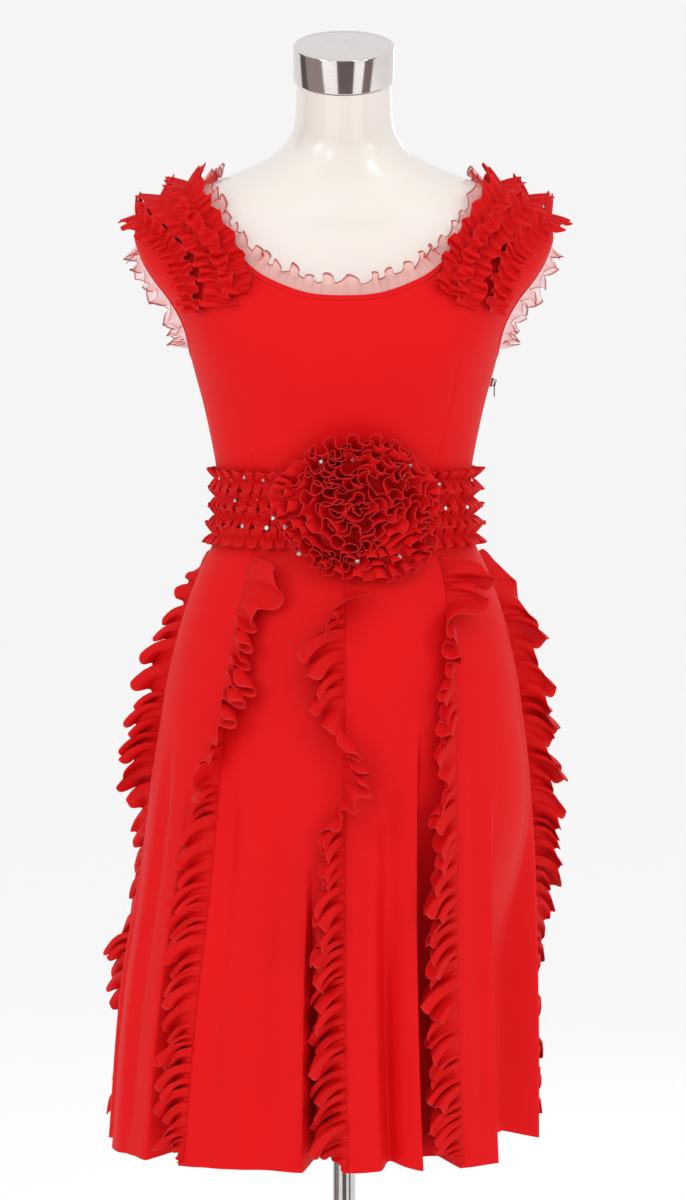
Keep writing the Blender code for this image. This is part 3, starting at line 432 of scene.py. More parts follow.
def bodice_grid(table, back):
    """One half panel, ruled between its inner and outer edge: columns t = 0 to 1.

    Columns are closer together where the dart runs. The half is then mirrored over X.
    """
    at = np.linspace(0, len(table) - 1, BODICE_ROWS)
    inner_angle, inner_height, outer_angle, outer_height = (
        edge[:, None] for edge in bodice_edge(table, at))
    t = np.concatenate([np.linspace(*part) for part in PANEL_COLUMNS])
    half_seam = np.degrees(SEAM / 2 / SIDE_REACH)
    angle = np.minimum(inner_angle + (outer_angle - inner_angle) * t, 90 - half_seam)
    height = inner_height + (outer_height - inner_height) * t
    out = OFF_FORM + CLOTH - BODICE_WALL + (0 if back else dart_trough(angle, height))
    half = on_body(180 - angle if back else angle, height, out)
    half[..., 0] = np.where(angle == 0, 0.0, half[..., 0])
    other = half[:, ::-1] * (-1, 1, 1)
    left, right = (half[:, ::-1], other[:, ::-1]) if back else (half, other)
    return [right, left]


def crepe(name, colour, shade, grain_mm=1.1, lift=0.0):
    """Polyester crepe: matt, because its twisted yarns shade each other, so it has little
    sheen and no clear highlight, with a fine pebbled grain that's drawn at 1.1 mm. The
    cut edges of frills get a painted highlight: `lift` paints them lighter, towards a pale
    red, for the light that they catch."""
    made, tree = empty_material(name)
    where = add(tree, "ShaderNodeUVMap", uv_map="metres")
    grain = add(tree, "ShaderNodeTexNoise",
                {"Vector": (where, "UV"), "Scale": 1000 / grain_mm, "Detail": 2.0})
    place = add(tree, "ShaderNodeTexCoord")
    cloudy = add(tree, "ShaderNodeTexNoise",
                 {"Vector": (place, "Object"), "Scale": 1000 / 60, "Detail": 3.0})
    body = add(tree, "ShaderNodeMix", {"Factor": (cloudy, "Fac"), "A": linear(colour),
                                       "B": linear(shade)}, data_type="RGBA")
    # painted highlight: `edge` times `lift` paints the cut edges towards a pale red
    edge = add(tree, "ShaderNodeAttribute", attribute_name="edge")
    bright = add(tree, "ShaderNodeMath", {0: (edge, "Fac"), 1: lift},
                 operation="MULTIPLY")
    rim = add(tree, "ShaderNodeMix", {"Factor": (bright, "Value"), "A": (body, "Result"),
                                      "B": linear("#CE3A3D")}, data_type="RGBA")
    bump = add(tree, "ShaderNodeBump", {"Height": (grain, "Fac"), "Strength": 0.10,
                                        "Distance": 0.0003})
    shader = add(tree, "ShaderNodeBsdfPrincipled",
                 {"Base Color": (rim, "Result"), "Roughness": 0.62, "IOR": 1.5,
                  "Specular IOR Level": 0.12, "Sheen Weight": 0.05,
                  "Sheen Roughness": 0.4, "Sheen Tint": linear("#FF7070"),
                  "Normal": (bump, "Normal")})
    add(tree, "ShaderNodeOutputMaterial", {"Surface": (shader, "BSDF")})
    return made


def wall(made, thick, offset):
    """Gives a sheet its thickness. Offset -1 keeps the sheet outermost and 1 innermost. Its
    narrow rims don't bend the shading of its faces."""
    solid = made.modifiers.new("wall", "SOLIDIFY")
    solid.thickness = thick
    solid.offset = offset
    solid.use_even_offset = offset != 0
    made.modifiers.new("flat rims", "WEIGHTED_NORMAL")


RED_CREPE = crepe("red polyester crepe, woven", "#D90A10", "#D3090E")
for name, table, back, flat in (("bodice_front", FRONT_EDGES, False, (0.42, 0.27)),
                                ("bodice_back", BACK_EDGES, True, (0.40, 0.28))):
    panel = surface(name + "_panel", bodice_grid(table, back), RED_CREPE)
    wall(panel, BODICE_WALL, 1.0)
    fit(panel, name)


def neckline(out):
    """Points round the neck opening's edge, from the wearer's right shoulder by the front."""
    halves = []
    for table, back in ((FRONT_EDGES, False), (BACK_EDGES, True)):
        corner = max(k for k, row in enumerate(table) if row[0] == 0)
        at = np.linspace(corner, len(table) - 1, NECK_POINTS)
        angle, height = bodice_edge(table, at)[:2]
        halves.append((180 - angle if back else angle, height))
    (front_a, front_h), (back_a, back_h) = halves
    angle = np.concatenate((-front_a[:0:-1], front_a, back_a[-2::-1], (360 - back_a)[1:-1]))
    height = np.concatenate((front_h[:0:-1], front_h, back_h[-2::-1], back_h[1:-1]))
    return even_spacing(on_body(angle, height, out), 4 * NECK_POINTS)


def even_spacing(points, count):
    """A closed line of points, spaced evenly along its length."""
    closed = np.concatenate((points, points[:1]))
    along = np.append(0, np.cumsum(np.linalg.norm(np.diff(closed, axis=0), axis=1)))
    at = np.arange(count) / count * along[-1]
    return np.stack([np.interp(at, along, closed[:, axis]) for axis in range(3)], axis=-1)


def along_closed(line):
    """Unit direction of a closed line at each of its points."""
    return unit(np.roll(line, -1, axis=0) - np.roll(line, 1, axis=0))


# a second line this far off the cloth shows which way is outward
OUTWARD_STEP = 0.004
neck_line = neckline(OFF_FORM + CLOTH)
neck_out = unit(neckline(OFF_FORM + CLOTH + OUTWARD_STEP) - neck_line)
neck_along = along_closed(neck_line)
neck_in = unit(np.cross(neck_out, neck_along))
neck_out = np.cross(neck_along, neck_in)
# across the binding: inward over the opening, and outward off the cloth, in metres
BINDING_PROFILE = np.array(((-0.0045, 0.0000), (-0.0044, 0.0007), (-0.0036, 0.0010),
                            (-0.0020, 0.0012), (-0.0004, 0.0010), (0.0006, 0.0003),
                            (0.0006, -0.0010), (-0.0002, -0.0019)))
binding_grid = (neck_line + BINDING_PROFILE[:, :1, None] * neck_in
                + BINDING_PROFILE[:, 1:, None] * neck_out)
binding = surface("neck_binding", [binding_grid], RED_CREPE, loop=True)
fit(binding)


# Topstitching of the binding: short stitches of red sewing thread, sunk a little at both
# ends, in one even row along its lower edge.

STITCH = {"pitch": 0.0028, "half": 0.0010, "thick": 0.00022, "proud": 0.0003, "in": 0.0037,
          "out": 0.0009}


def stitches(line, along, inward, outward):
    """Small raised strips along a closed line: centre + along * a + across * b, bulging
    outward by the thread's height * (1 - a^4) * (1 - b^2 / 2), for a and b from -1 to 1."""
    length = np.linalg.norm(np.roll(line, -1, axis=0) - line, axis=1).sum()
    count = int(length / STITCH["pitch"])
    pick = np.round(np.arange(count) / count * len(line)).astype(int)
    a = np.linspace(-1, 1, 5)[:, None, None]
    b = np.linspace(-1, 1, 3)[None, :, None]
    bulge = STITCH["proud"] * (1 - a ** 4) * (1 - b ** 2 / 2)
    return [line[k] + along[k] * STITCH["half"] * a - inward[k] * STITCH["thick"] * b
            + outward[k] * bulge for k in pick]


def plain_material(name, inputs):
    """A material that is the same all over, from its shader's inputs."""
    made, tree = empty_material(name)
    shader = add(tree, "ShaderNodeBsdfPrincipled", inputs)
    add(tree, "ShaderNodeOutputMaterial", {"Surface": (shader, "BSDF")})
    return made


# spun thread is matt; its colour is painted darker than the cloth, as painted shade,
# because it lies in its own shade
SHADED_THREAD = plain_material("red polyester sewing thread, spun, painted shade",
                        {"Base Color": linear("#B80C12"), "Roughness": 0.5})
stitch_line = neck_line - STITCH["in"] * neck_in + STITCH["out"] * neck_out
stitch_row = surface("neck_topstitching",
                     stitches(stitch_line, neck_along, neck_in, neck_out), SHADED_THREAD)
fit(stitch_row)


# Armhole bindings: a strip of the same crepe sewn round each armhole, which stands away from
# the panels at the front and back, so that the form shows through a narrow gap.

BAND_COLUMNS = 132
BAND_SWELL = 0.0005
BAND_ACROSS = (1.0, 0.92, 0.72, 0.5, 0.28, 0.08, 0.0)
band_share = np.arange(BAND_COLUMNS) / BAND_COLUMNS


def armhole_line(side, grow, out):
    """Points round an armhole's oval, `grow` metres outside its edge and `out` off the form."""
    angle, height = armhole(band_share, grow)
    points = on_body(side * angle, height, out)
    return points if side > 0 else points[::-1]


for side, name in ((1, "left"), (-1, "right")):
    rows = [armhole_line(side, -ARMHOLE["band"] * across, OFF_FORM + CLOTH - BODICE_WALL
                         + BAND_SWELL * np.sin(np.pi * across))
            for across in BAND_ACROSS]
    band = surface("armhole_binding_" + name, [np.stack(rows)], RED_CREPE, loop=True)
    wall(band, BODICE_WALL, 1.0)
    fit(band, "armhole_band_" + name)


# Organza frills: strips of sheer polyester organza with a rolled and overlocked edge in red
# thread, gathered into the neck and armhole bindings, so that they stand out like petals.

# `steep` sets how much the steep walls of the waves are painted darker and denser, as painted
# shade
ORGANZA = {"columns": 14, "vary": 0.55, "sewn_in": 0.0014, "sunk": 0.0004, "bend": 0.8,
           "lag": 0.6, "even": 0.82, "uneven": 0.18, "scallop": 0.15, "slow": 0.09,
           "slow_turns": 0.41, "drift": 1.1, "drift_turns": 0.27, "steep": 0.30}
NECK_ORGANZA = {"gap": 0.0008, "reach": 0.0165, "stand": 0.0050, "wave": 0.0054,
                "waves": 52, "loop": 0.0015}
ARM_ORGANZA = {"gap": 0.0016, "reach": 0.0085, "stand": 0.0115, "wave": 0.0060,
               "waves": 14, "loop": 0.0022}
# a second line this far off the form shows which way is outward at an armhole
ARM_STEP = 0.006
# places across a gathered strip, closer together at its edge, and where its edge shows
ACROSS = np.array((0, 0.18, 0.36, 0.54, 0.72, 0.86, 0.95, 1.0))
CUT_EDGE = (ACROSS == 1) * 1.0
OVERLOCKED = (ACROSS > 0.94) * 1.0


def uneven_waves(count, steps, vary, seed, loop=False):
    """Uneven gathers along a strip: places from 0 to 1, the phase and each wave's size.

    Wave lengths and sizes differ by up to `vary` of their mean, from a seeded generator.
    """
    chance = np.random.default_rng(seed)
    ends = np.append(0, np.cumsum(1 + vary * chance.uniform(-1, 1, count)))
    size = 1 + vary * chance.uniform(-1, 1, count + 1)
    if loop:
        size[-1] = size[0]
    index = np.arange(count * steps + (0 if loop else 1)) / steps
    numbers = np.arange(count + 1)
    return (np.interp(index, numbers, ends / ends[-1]), 2 * np.pi * index,
            np.interp(index, numbers, size))


def at_share(line, share):
    """Points at shares of a closed, evenly spaced line."""
    closed = np.concatenate((line, line[:1]))
    at = np.linspace(0, 1, len(closed))
    return np.stack([np.interp(share, at, closed[:, axis]) for axis in range(3)], axis=-1)


def organza_cloth(name, colour, thread, single):
    """Sheer plain-weave organza, mostly gaps between fine stiff yarns, so it only tints what
    is behind it, by `single` for one layer, and gets stronger where it overlaps; the
    overlocked edge is opaque. Where `edge` holds the steep walls of waves, the cloth is
    painted darker and denser there, as painted shade."""
    made, tree = empty_material(name)
    edge = add(tree, "ShaderNodeAttribute", attribute_name="edge")
    tint = add(tree, "ShaderNodeMix", {"Factor": (edge, "Fac"), "A": linear(colour),
                                       "B": linear(thread)}, data_type="RGBA")
    cover = add(tree, "ShaderNodeMapRange", {"Value": (edge, "Fac"), "To Min": single,
                                             "To Max": 0.90})
    shader = add(tree, "ShaderNodeBsdfPrincipled",
                 {"Base Color": (tint, "Result"), "Roughness": 0.5, "IOR": 1.5,
                  "Specular IOR Level": 0.3, "Alpha": (cover, "Result"),
                  "Sheen Weight": 0.1})
    add(tree, "ShaderNodeOutputMaterial", {"Surface": (shader, "BSDF")})
    return made


NECK_SHEER = organza_cloth("red polyester organza, gathered", "#F0443A", "#A8181A", 0.25)
ARM_SHEER = organza_cloth("red polyester organza, single", "#F0443A", "#A8181A", 0.17)


def organza_strip(name, node, line, inward, outward, size, cloth, seed):
    """A frill from a closed line: root + inward * reach * v + outward * (stand + wave) * v.

    Its waves sin(phase) grow with v. The slide -loop sin(2 phase) along the line rounds
    them into loops like the letter omega. The reach is scalloped by a sine whose phase
    drifts, and by a slow one. `edge` also carries a painted shade: the cloth is painted
    darker and denser where its waves are steep.
    """
    share, phase, weight = uneven_waves(size["waves"], ORGANZA["columns"], ORGANZA["vary"],
                                        seed, loop=True)
    v = ACROSS[:, None, None]
    root, inward, outward = (at_share(values, share) for values in (line, inward, outward))
    phase, weight = phase[:, None], weight[:, None]
    tangent = np.cross(inward, outward)
    falls = phase + ORGANZA["drift"] * np.sin(ORGANZA["drift_turns"] * phase + 1.0)
    slow = ORGANZA["slow"] * np.sin(ORGANZA["slow_turns"] * phase + 1.0)
    reach = size["reach"] * (ORGANZA["even"] + ORGANZA["uneven"] * weight
                             + ORGANZA["scallop"] * np.sin(falls) * v + slow * v)
    lift = (size["stand"] * v + size["wave"] * weight * np.sin(phase + ORGANZA["lag"] * v)
            * v ** ORGANZA["bend"])
    slip = -size["loop"] * np.sin(2 * phase) * weight * v
    grid = (root + inward * (size["gap"] - ORGANZA["sewn_in"] + reach * v)
            + outward * (lift - ORGANZA["sunk"]) + tangent * slip)
    # painted shade: the steep walls of the waves go into `edge`, which paints them darker and
    # denser
    steep = ORGANZA["steep"] * np.cos(phase[:, 0]) ** 2 * ACROSS[:, None]
    made = surface(name, [grid], cloth, loop=True,
                   edge=[np.maximum(OVERLOCKED[:, None], steep)])
    fit(made, node)
    return made


neck_organza = organza_strip("neck_organza_frill", "neck_frill",
                             neck_line - ORGANZA["sunk"] * neck_out, neck_in, neck_out,
                             NECK_ORGANZA, NECK_SHEER, 3)
for side, name in ((1, "left"), (-1, "right")):
    rim = armhole_line(side, -ARMHOLE["band"], OFF_FORM + CLOTH / 2)
    rim_out = unit(armhole_line(side, -ARMHOLE["band"], OFF_FORM + ARM_STEP) - rim)
    rim_in = unit(np.cross(rim_out, along_closed(rim)))
    middle = skin(side * 90, ARMHOLE["height"])
    if np.sum(rim_in * (middle - rim)) < 0:
        rim_in = -rim_in
    arm_organza = organza_strip("armhole_organza_frill_" + name, "armhole_frill_" + name,
                                rim, rim_in, rim_out, ARM_ORGANZA, ARM_SHEER, 5 + side)


# Shoulder frills: three strips of crepe on each strap, cut with both edges raw, pleated
# finely by the gathering thread down their middle and sewn from front to back over the
# shoulder. Their edges stand up on both sides of the thread and fan out at the top.

# angles and heights along each row up to the shoulder's top, and half its width
SHOULDER_ROWS = (
    ((30.6, 30.0, 32.2, 40.5, 54.5, 72.0, 90.0),
     (1.2478, 1.2700, 1.3000, 1.3265, 1.3395, 1.3455, 1.3480), 0.0138),
    ((37.2, 34.8, 36.4, 46.0, 60.5, 75.0, 90.0),
     (1.2380, 1.2660, 1.2960, 1.3195, 1.3295, 1.3342, 1.3360), 0.0142),
    ((48.0, 44.4, 45.6, 55.0, 67.5, 79.0, 90.0),
     (1.2340, 1.2640, 1.2930, 1.3105, 1.3170, 1.3202, 1.3212), 0.0120),
)
BOTH_EDGES = np.concatenate((-ACROSS[:0:-1], ACROSS))
BOTH_CUT = (np.abs(BOTH_EDGES) == 1) * 1.0
SHOULDER_FRILL = {"lift": 0.0046, "crest": 0.0050, "off": 0.0025, "pleats": 33,
                  "columns": 13, "vary": 0.35, "wave": 0.0034, "loop": 0.0011,
                  "petal": 0.0040, "slant": 0.0020, "wall": 0.0006, "steps": 240,
                  "bend": 1.25, "calm": 0.7, "at_thread": 0.45, "at_edge": 0.55,
                  "mouth": 0.22, "fan": 0.10}
# how far the waves of a strip's second edge lag behind the first's, in radians
EDGE_LAG = 1.9
# the panels' crepe again, painted darker as the shade that frills lie in, and with a painted
# highlight on its cut edges by `lift`
SHADED_EDGE_LIT_FRILL_CREPE = crepe("red polyester crepe, gathered", "#D40A0F", "#C4080C", lift=0.4)


def unit_along(line):
    """Unit direction of an open line at each of its points."""
    return unit(np.gradient(line, axis=0))


def gathered_shoulder(side, angles, heights, half, seed):
    """A strip over the shoulder: middle + across * reach + normal * lift, for w = -1 to 1.

    Pleats swing the strip by sin(phase) off the surface and slide it by -sin(2 phase), so
    their edges curl. On top of the shoulder they are calmer, and waves twice as long
    spread the strip in petals and fan it out.
    """
    size = SHOULDER_FRILL
    angles = np.array(angles + tuple(180 - a for a in angles[-2::-1]))
    heights = np.array(heights + heights[-2::-1])
    knots = np.linspace(0, 1, len(angles))
    finer = np.linspace(0, 1, size["steps"])
    turn, level = between(np.column_stack((knots, angles, heights)), finer)
    path = on_body(side * turn, level, OFF_FORM + CLOTH + size["off"])
    along = np.append(0, np.cumsum(np.linalg.norm(np.diff(path, axis=0), axis=1)))
    share, phase, weight = uneven_waves(size["pleats"], size["columns"], size["vary"], seed)
    at = np.interp(share, along / along[-1], finer)
    turn, level = np.interp(at, finer, turn), np.interp(at, finer, level)
    middle = on_body(side * turn, level, OFF_FORM + CLOTH + size["off"])
    tangent = unit_along(middle)
    normal = skin_normal(side * turn, level)
    across = np.cross(normal, tangent)
    w = BOTH_EDGES[:, None]
    far = np.abs(w)
    top = np.sin(np.pi * share) ** 2 * far
    side_phase = phase + np.where(w > 0, 0.0, EDGE_LAG)
    pleat = np.sin(side_phase) * weight * (1 - size["calm"] * top)
    petal = side_phase / 2 + seed
    lift = (size["lift"] * far ** size["bend"] + size["crest"] * top
            + size["wave"] * pleat * (size["at_thread"] + size["at_edge"] * far)
            + size["petal"] * top * np.cos(petal))
    mouth = size["mouth"] * np.sin(petal) * weight * (1 - top) + size["fan"] * top
    reach = half * w * (1 + mouth) + size["petal"] * top * w * np.cos(petal)
    slide = (size["slant"] * w
             - size["loop"] * far * np.sin(2 * side_phase) * weight * (1 - top))
    return (middle + across * reach[..., None] + normal * lift[..., None]
            + tangent * slide[..., None])


for number, (angles, heights, half) in enumerate(SHOULDER_ROWS, 1):
    for side, name in ((1, "left"), (-1, "right")):
        frill = surface("shoulder_ruffle_%s_%d" % (name, number),
                        [gathered_shoulder(side, angles, heights, half, 10 * number + side)],
                        SHADED_EDGE_LIT_FRILL_CREPE, edge=[BOTH_CUT[:, None]])
        wall(frill, SHOULDER_FRILL["wall"], 0.0)
        fit(frill, "shoulder_frill_%s_%d" % (name, number))


# Waistband: a plain strip of crepe round the waist, and four narrow strips gathered along
# their middle and sewn on it one below the other, so each shows two crinkled raw edges.

WAIST_LEVELS = (1.0112, 1.0833)
# rows and columns of the plain strip
BAND_GRID = (9, 144)
# heights of the four gathered rows
WAIST_ROWS = (1.0755, 1.0580, 1.0405, 1.0220)
WAIST_ROW = {"half": 0.0095, "off": 0.0014, "lift": 0.0058, "wave": 0.0028, "waves": 54,
             "columns": 15, "vary": 0.50, "crimp": 0.0011, "crimp_lag": 1.5,
             "crimp_fades": 0.6, "loop": 0.15, "rounded": 0.9, "even": 0.75,
             "uneven": 0.25, "scallop": 0.16, "behind": 0.9, "wall": 0.0006}
# the rows' waves grow by a part of their size where the sine of their angle passes a value
CROWDED = {"more": 0.9, "from": 0.5, "over": 0.3}
ROSETTE = {"x": 0.0120, "height": 1.0530, "wide": 0.94, "tall": 1.00, "out": 0.0083,
           "sag": 0.085}
# the rows are flat under the rosette, up to an angle from its middle, and then rise
UNDER_ROSETTE = {"lift": 0.0016, "wave": 0.0005, "to": 26, "rise": 10}


def angle_across(x, height):
    """The front angle at which the skin is x metres to the wearer's left."""
    turns = np.linspace(-89, 89, 180)
    return np.interp(x, skin(turns, height)[:, 0], turns)


rosette_angle = angle_across(ROSETTE["x"], ROSETTE["height"])
around = np.arange(BAND_GRID[1]) * 360 / BAND_GRID[1]
band_levels = np.linspace(*WAIST_LEVELS, BAND_GRID[0])[:, None]
waistband = surface("waistband_strip",
                    [on_body(around, band_levels, OFF_FORM + CLOTH - BODICE_WALL)],
                    RED_CREPE, loop=True)
wall(waistband, BODICE_WALL, 1.0)
fit(waistband, "waistband")


def gathered_waist_row(level, seed):
    """A closed strip: height = level + half w, off the band by a rounded lift of |w|.

    Its edges wave out of step with each other, scallop and curl into loops by -sin(2 phase).
    Three fine gathers to a wave die away from the thread. All is flat under the rosette, and
    the waves stand out more at the wearer's left, where the strip is crowded.
    """
    share, phase, weight = uneven_waves(WAIST_ROW["waves"], WAIST_ROW["columns"],
                                        WAIST_ROW["vary"], seed, loop=True)
    angle = 360 * share
    away = np.abs((angle - rosette_angle + 180) % 360 - 180)
    free = ease((away - UNDER_ROSETTE["to"]) / UNDER_ROSETTE["rise"])
    w = BOTH_EDGES[:, None]
    far = np.abs(w)
    side_phase = phase + np.where(w > 0, 0.0, EDGE_LAG)
    lift = UNDER_ROSETTE["lift"] + (WAIST_ROW["lift"] - UNDER_ROSETTE["lift"]) * free
    wave = UNDER_ROSETTE["wave"] + (WAIST_ROW["wave"] - UNDER_ROSETTE["wave"]) * free
    leftward = (np.sin(np.radians(angle)) - CROWDED["from"]) / CROWDED["over"]
    wave = wave * (1 + CROWDED["more"] * ease(leftward))
    rise = 2 * WAIST_ROW["rounded"] * far - WAIST_ROW["rounded"] * far ** 2
    crimp = (WAIST_ROW["crimp"] * np.sin(3 * phase + WAIST_ROW["crimp_lag"] * w)
             * (1 - WAIST_ROW["crimp_fades"] * far) * free)
    off = (WAIST_ROW["off"]
           + lift * rise * (WAIST_ROW["even"] + WAIST_ROW["uneven"] * weight)
           + wave * np.sin(side_phase) * weight * far + crimp)
    scallop = (1 + WAIST_ROW["scallop"] * np.sin(side_phase + WAIST_ROW["behind"])
               * weight * free)
    curl = WAIST_ROW["loop"] * 360 / WAIST_ROW["waves"]
    shift = -curl * np.sin(2 * side_phase) * weight * far * free
    return on_body(angle + shift, level + WAIST_ROW["half"] * w * scallop,
                   OFF_FORM + CLOTH + off)


for number, level in enumerate(WAIST_ROWS, 1):
    row = surface("waist_ruffle_%d" % number, [gathered_waist_row(level, 40 + number)],
                  SHADED_EDGE_LIT_FRILL_CREPE, loop=True, edge=[BOTH_CUT[:, None]])
    wall(row, WAIST_ROW["wall"], 0.0)
    fit(row, "waist_frill_%d" % number)


# Rosette: one long strip of crepe, gathered and sewn in rounds on a crepe disc from its rim
# to its middle. Every round stands on edge and snakes from side to side, so from the front
# it shows as crowded curls with dark gaps between them.

ROSETTE_BASE = 0.0605
# radius, lean, width, waves and swing of each round's inner and outer strip
ROSETTE_RINGS = (
    (0.0070, ((4, 0.0160, 3, 0.0040), (10, 0.0170, 4, 0.0048))),
    (0.0195, ((12, 0.0180, 6, 0.0064), (16, 0.0180, 8, 0.0062))),
    (0.0325, ((20, 0.0178, 11, 0.0060), (28, 0.0176, 14, 0.0058))),
    (0.0450, ((34, 0.0170, 18, 0.0056), (42, 0.0160, 21, 0.0052))),
    (0.0555, ((44, 0.0168, 25, 0.0054), (54, 0.0172, 28, 0.0054))),
)
ROSETTE_FINE = {"columns": 18, "wall": 0.0006, "foot": 0.0022, "vary": 0.58,
                "apart": 0.0022, "apart_foot": 0.3, "middle": 0.0012, "lag": 0.4,
                "bend": 0.7, "even": 0.80, "uneven": 0.20, "lean": 15, "settles": 0.08,
                "measured_at": 0.4, "loop": 0.15, "drift": 0.5, "tight": 0.006}
# slow wander of a strip's foot: part of the radius, waves in a round and shift by strip
WANDER = ((0.10, 2, 0.7), (0.07, 3, 1.9), (0.05, 5, 1.0))
WANDER_RADIUS = 0.036
ROSETTE_DISC = {"columns": 72, "rows": 14, "hole": 0.0005, "wall": 0.0010}
# places across and up at which the skin is read to find the angle of each point
ROSETTE_READ = (120, 60)


def on_rosette(u, v, out):
    """A point u across and v above the rosette's middle, `out` off its base."""
    height = ROSETTE["height"] + v
    turns = np.linspace(-89, 89, ROSETTE_READ[0])
    levels = np.linspace(height.min(), height.max(), ROSETTE_READ[1])
    across = skin(turns, levels[:, None])[..., 0]
    low = np.clip((height - levels[0]) / (levels[1] - levels[0]), 0, len(levels) - 1.001)
    k = low.astype(int)
    part = (low - k)[..., None]
    rows = across[k] * (1 - part) + across[k + 1] * part
    x = np.asarray(ROSETTE["x"] + u)[..., None]
    step = np.clip((rows < x).sum(axis=-1) - 1, 0, len(turns) - 2)[..., None]
    left = np.take_along_axis(rows, step, -1)[..., 0]
    right = np.take_along_axis(rows, step + 1, -1)[..., 0]
    angle = turns[step[..., 0]] + (x[..., 0] - left) / (right - left) * (turns[1] - turns[0])
    return on_body(angle, height, ROSETTE["out"] + np.maximum(-v, 0) * ROSETTE["sag"] + out)


def ring_of_rosette(turn, radius, out):
    """A point at a turn and radius of the slightly wide rosette."""
    return on_rosette(np.cos(turn) * radius * ROSETTE["wide"],
                      np.sin(turn) * radius * ROSETTE["tall"], out)


disc_turn = np.arange(ROSETTE_DISC["columns"]) * 2 * np.pi / ROSETTE_DISC["columns"]
disc_radius = np.linspace(ROSETTE_DISC["hole"], ROSETTE_BASE, ROSETTE_DISC["rows"])[:, None]
disc = surface("rosette_disc",
               [ring_of_rosette(disc_turn, disc_radius, 0 * disc_turn)[::-1]],
               RED_CREPE, loop=True)
wall(disc, ROSETTE_DISC["wall"], 1.0)
fit(disc, "rosette_base")


def rosette_round(radius, lean, width, waves, swing, seed, fold):
    """A standing strip: its foot at the radius, its edge `width` away along the lean.

    It swings square to that by sin(phase) and slides round by -sin(2 phase), which makes
    loops like the letter omega. `fold` sends it to the outer (1) or inner (-1) side. The
    foot wanders by slow sines of the turn, since it was laid by hand.
    """
    fine = ROSETTE_FINE
    share, phase, weight = uneven_waves(waves, fine["columns"], fine["vary"], seed, loop=True)
    v = ACROSS[:, None]
    around = 2 * np.pi * share
    wander = sum(part * np.sin(times * around + shift * seed)
                 for part, times, shift in WANDER) * min(radius, WANDER_RADIUS)
    lean = np.radians(lean + fine["lean"] * np.sin(3 * around + seed) * v)
    bend = swing * np.sin(phase + fine["lag"] * v) * weight * v ** fine["bend"]
    reach = width * (fine["even"] + fine["uneven"] * weight) * v
    from_middle = (radius + wander + fold * fine["apart"] * (fine["apart_foot"] + v)
                   + reach * np.sin(lean) + bend * np.cos(lean))
    out = (fine["foot"] + reach * np.cos(lean) * (1 - fine["settles"] * v)
           - bend * np.sin(lean))
    wave_length = 2 * np.pi * (radius + fine["measured_at"] * width * np.sin(lean)) / waves
    drift = fine["drift"] * np.sin(around + seed)
    slip = -fine["loop"] * wave_length * np.sin(2 * phase + drift) * weight * v
    turn = around + slip / np.maximum(from_middle, fine["tight"])
    return ring_of_rosette(turn, np.maximum(from_middle, fine["middle"]), out)


for number, (radius, strips) in enumerate(ROSETTE_RINGS, 1):
    grids = [rosette_round(radius, *sizes, 60 + number + 10 * fold, fold)
             for fold, sizes in zip((-1, 1), strips)]
    strip = surface("rosette_ruffle_%d" % number, grids, SHADED_EDGE_LIT_FRILL_CREPE, loop=True,
                    edge=[CUT_EDGE[:, None]] * 2)
    wall(strip, ROSETTE_FINE["wall"], 0.0)
    fit(strip, "rosette_frill_%d" % number)


# Rhinestones: foil-backed glass cut with facets, 4 mm across, each held in a small plated cup
# that is stitched through the waist rows and the rosette at uneven distances.

# angle and height of each stone: the first rows as in front, the last ones round the back
STONES = (
    (-56.8, 1.0764), (-47.1, 1.0791), (-36.6, 1.0772), (-24.9, 1.0678), (-53.6, 1.0567),
    (-41.0, 1.0582), (-30.0, 1.0416), (-46.1, 1.0324), (-33.4, 1.0315), (-24.0, 1.0334),
    (-9.1, 1.1010), (3.5, 1.1010), (-8.6, 1.0642), (-5.0, 1.0298), (-17.6, 1.0072),
    (5.0, 0.9997), (21.3, 1.0038), (27.6, 1.0940), (24.9, 1.0844), (42.4, 1.0731),
    (46.1, 1.0502), (60.7, 1.0497), (59.7, 1.0267),
    (74.0, 1.0745), (88.0, 1.0560), (97.0, 1.0300), (112.0, 1.0770), (121.0, 1.0480),
    (139.0, 1.0310), (148.0, 1.0720), (163.0, 1.0570), (171.0, 1.0270), (186.0, 1.0760),
    (199.0, 1.0430), (207.0, 1.0690), (221.0, 1.0260), (234.0, 1.0560), (243.0, 1.0780),
    (257.0, 1.0330), (268.0, 1.0640), (281.0, 1.0270), (290.0, 1.0770),
)
STONE_RADIUS = 0.0020
# radius and height of the stone's facets and of its cup, as parts of the stone's radius
STONE_PROFILE = ((1.0, 0.0), (1.0, 0.18), (0.60, 0.52))
CUP_PROFILE = ((1.12, -0.25), (1.20, 0.05), (1.10, 0.26), (0.98, 0.24))
STONE_SIDES = 8
STONE_RAY, RAY_SLACK = 0.08, 0.005
# how strongly a stone leans to the ray, and a direction that no normal has
STONE_LEAN = 1.5
ASKEW = (0.1, 0.2, 1.0)


def stone_places():
    """Where a ray to the body first meets cloth at each stone, and the cloth's normal there,
    leaned back along the ray so that every stone looks outwards."""
    bpy.context.view_layer.update()
    found = bpy.context.evaluated_depsgraph_get()
    angle, height = np.array(STONES).T
    start = on_body(angle, height, STONE_RAY + 0 * angle)
    inward = unit(on_body(angle, height, 0 * angle) - start)
    hits = [bpy.context.scene.ray_cast(found, tuple(a), tuple(b),
                                       distance=STONE_RAY + RAY_SLACK)
            for a, b in zip(start, inward)]
    place = np.array([hit[1] for hit in hits])
    normal = np.array([hit[2] for hit in hits])
    normal *= np.sign(-np.sum(normal * inward, axis=1, keepdims=True))
    return place, unit(normal - STONE_LEAN * inward)


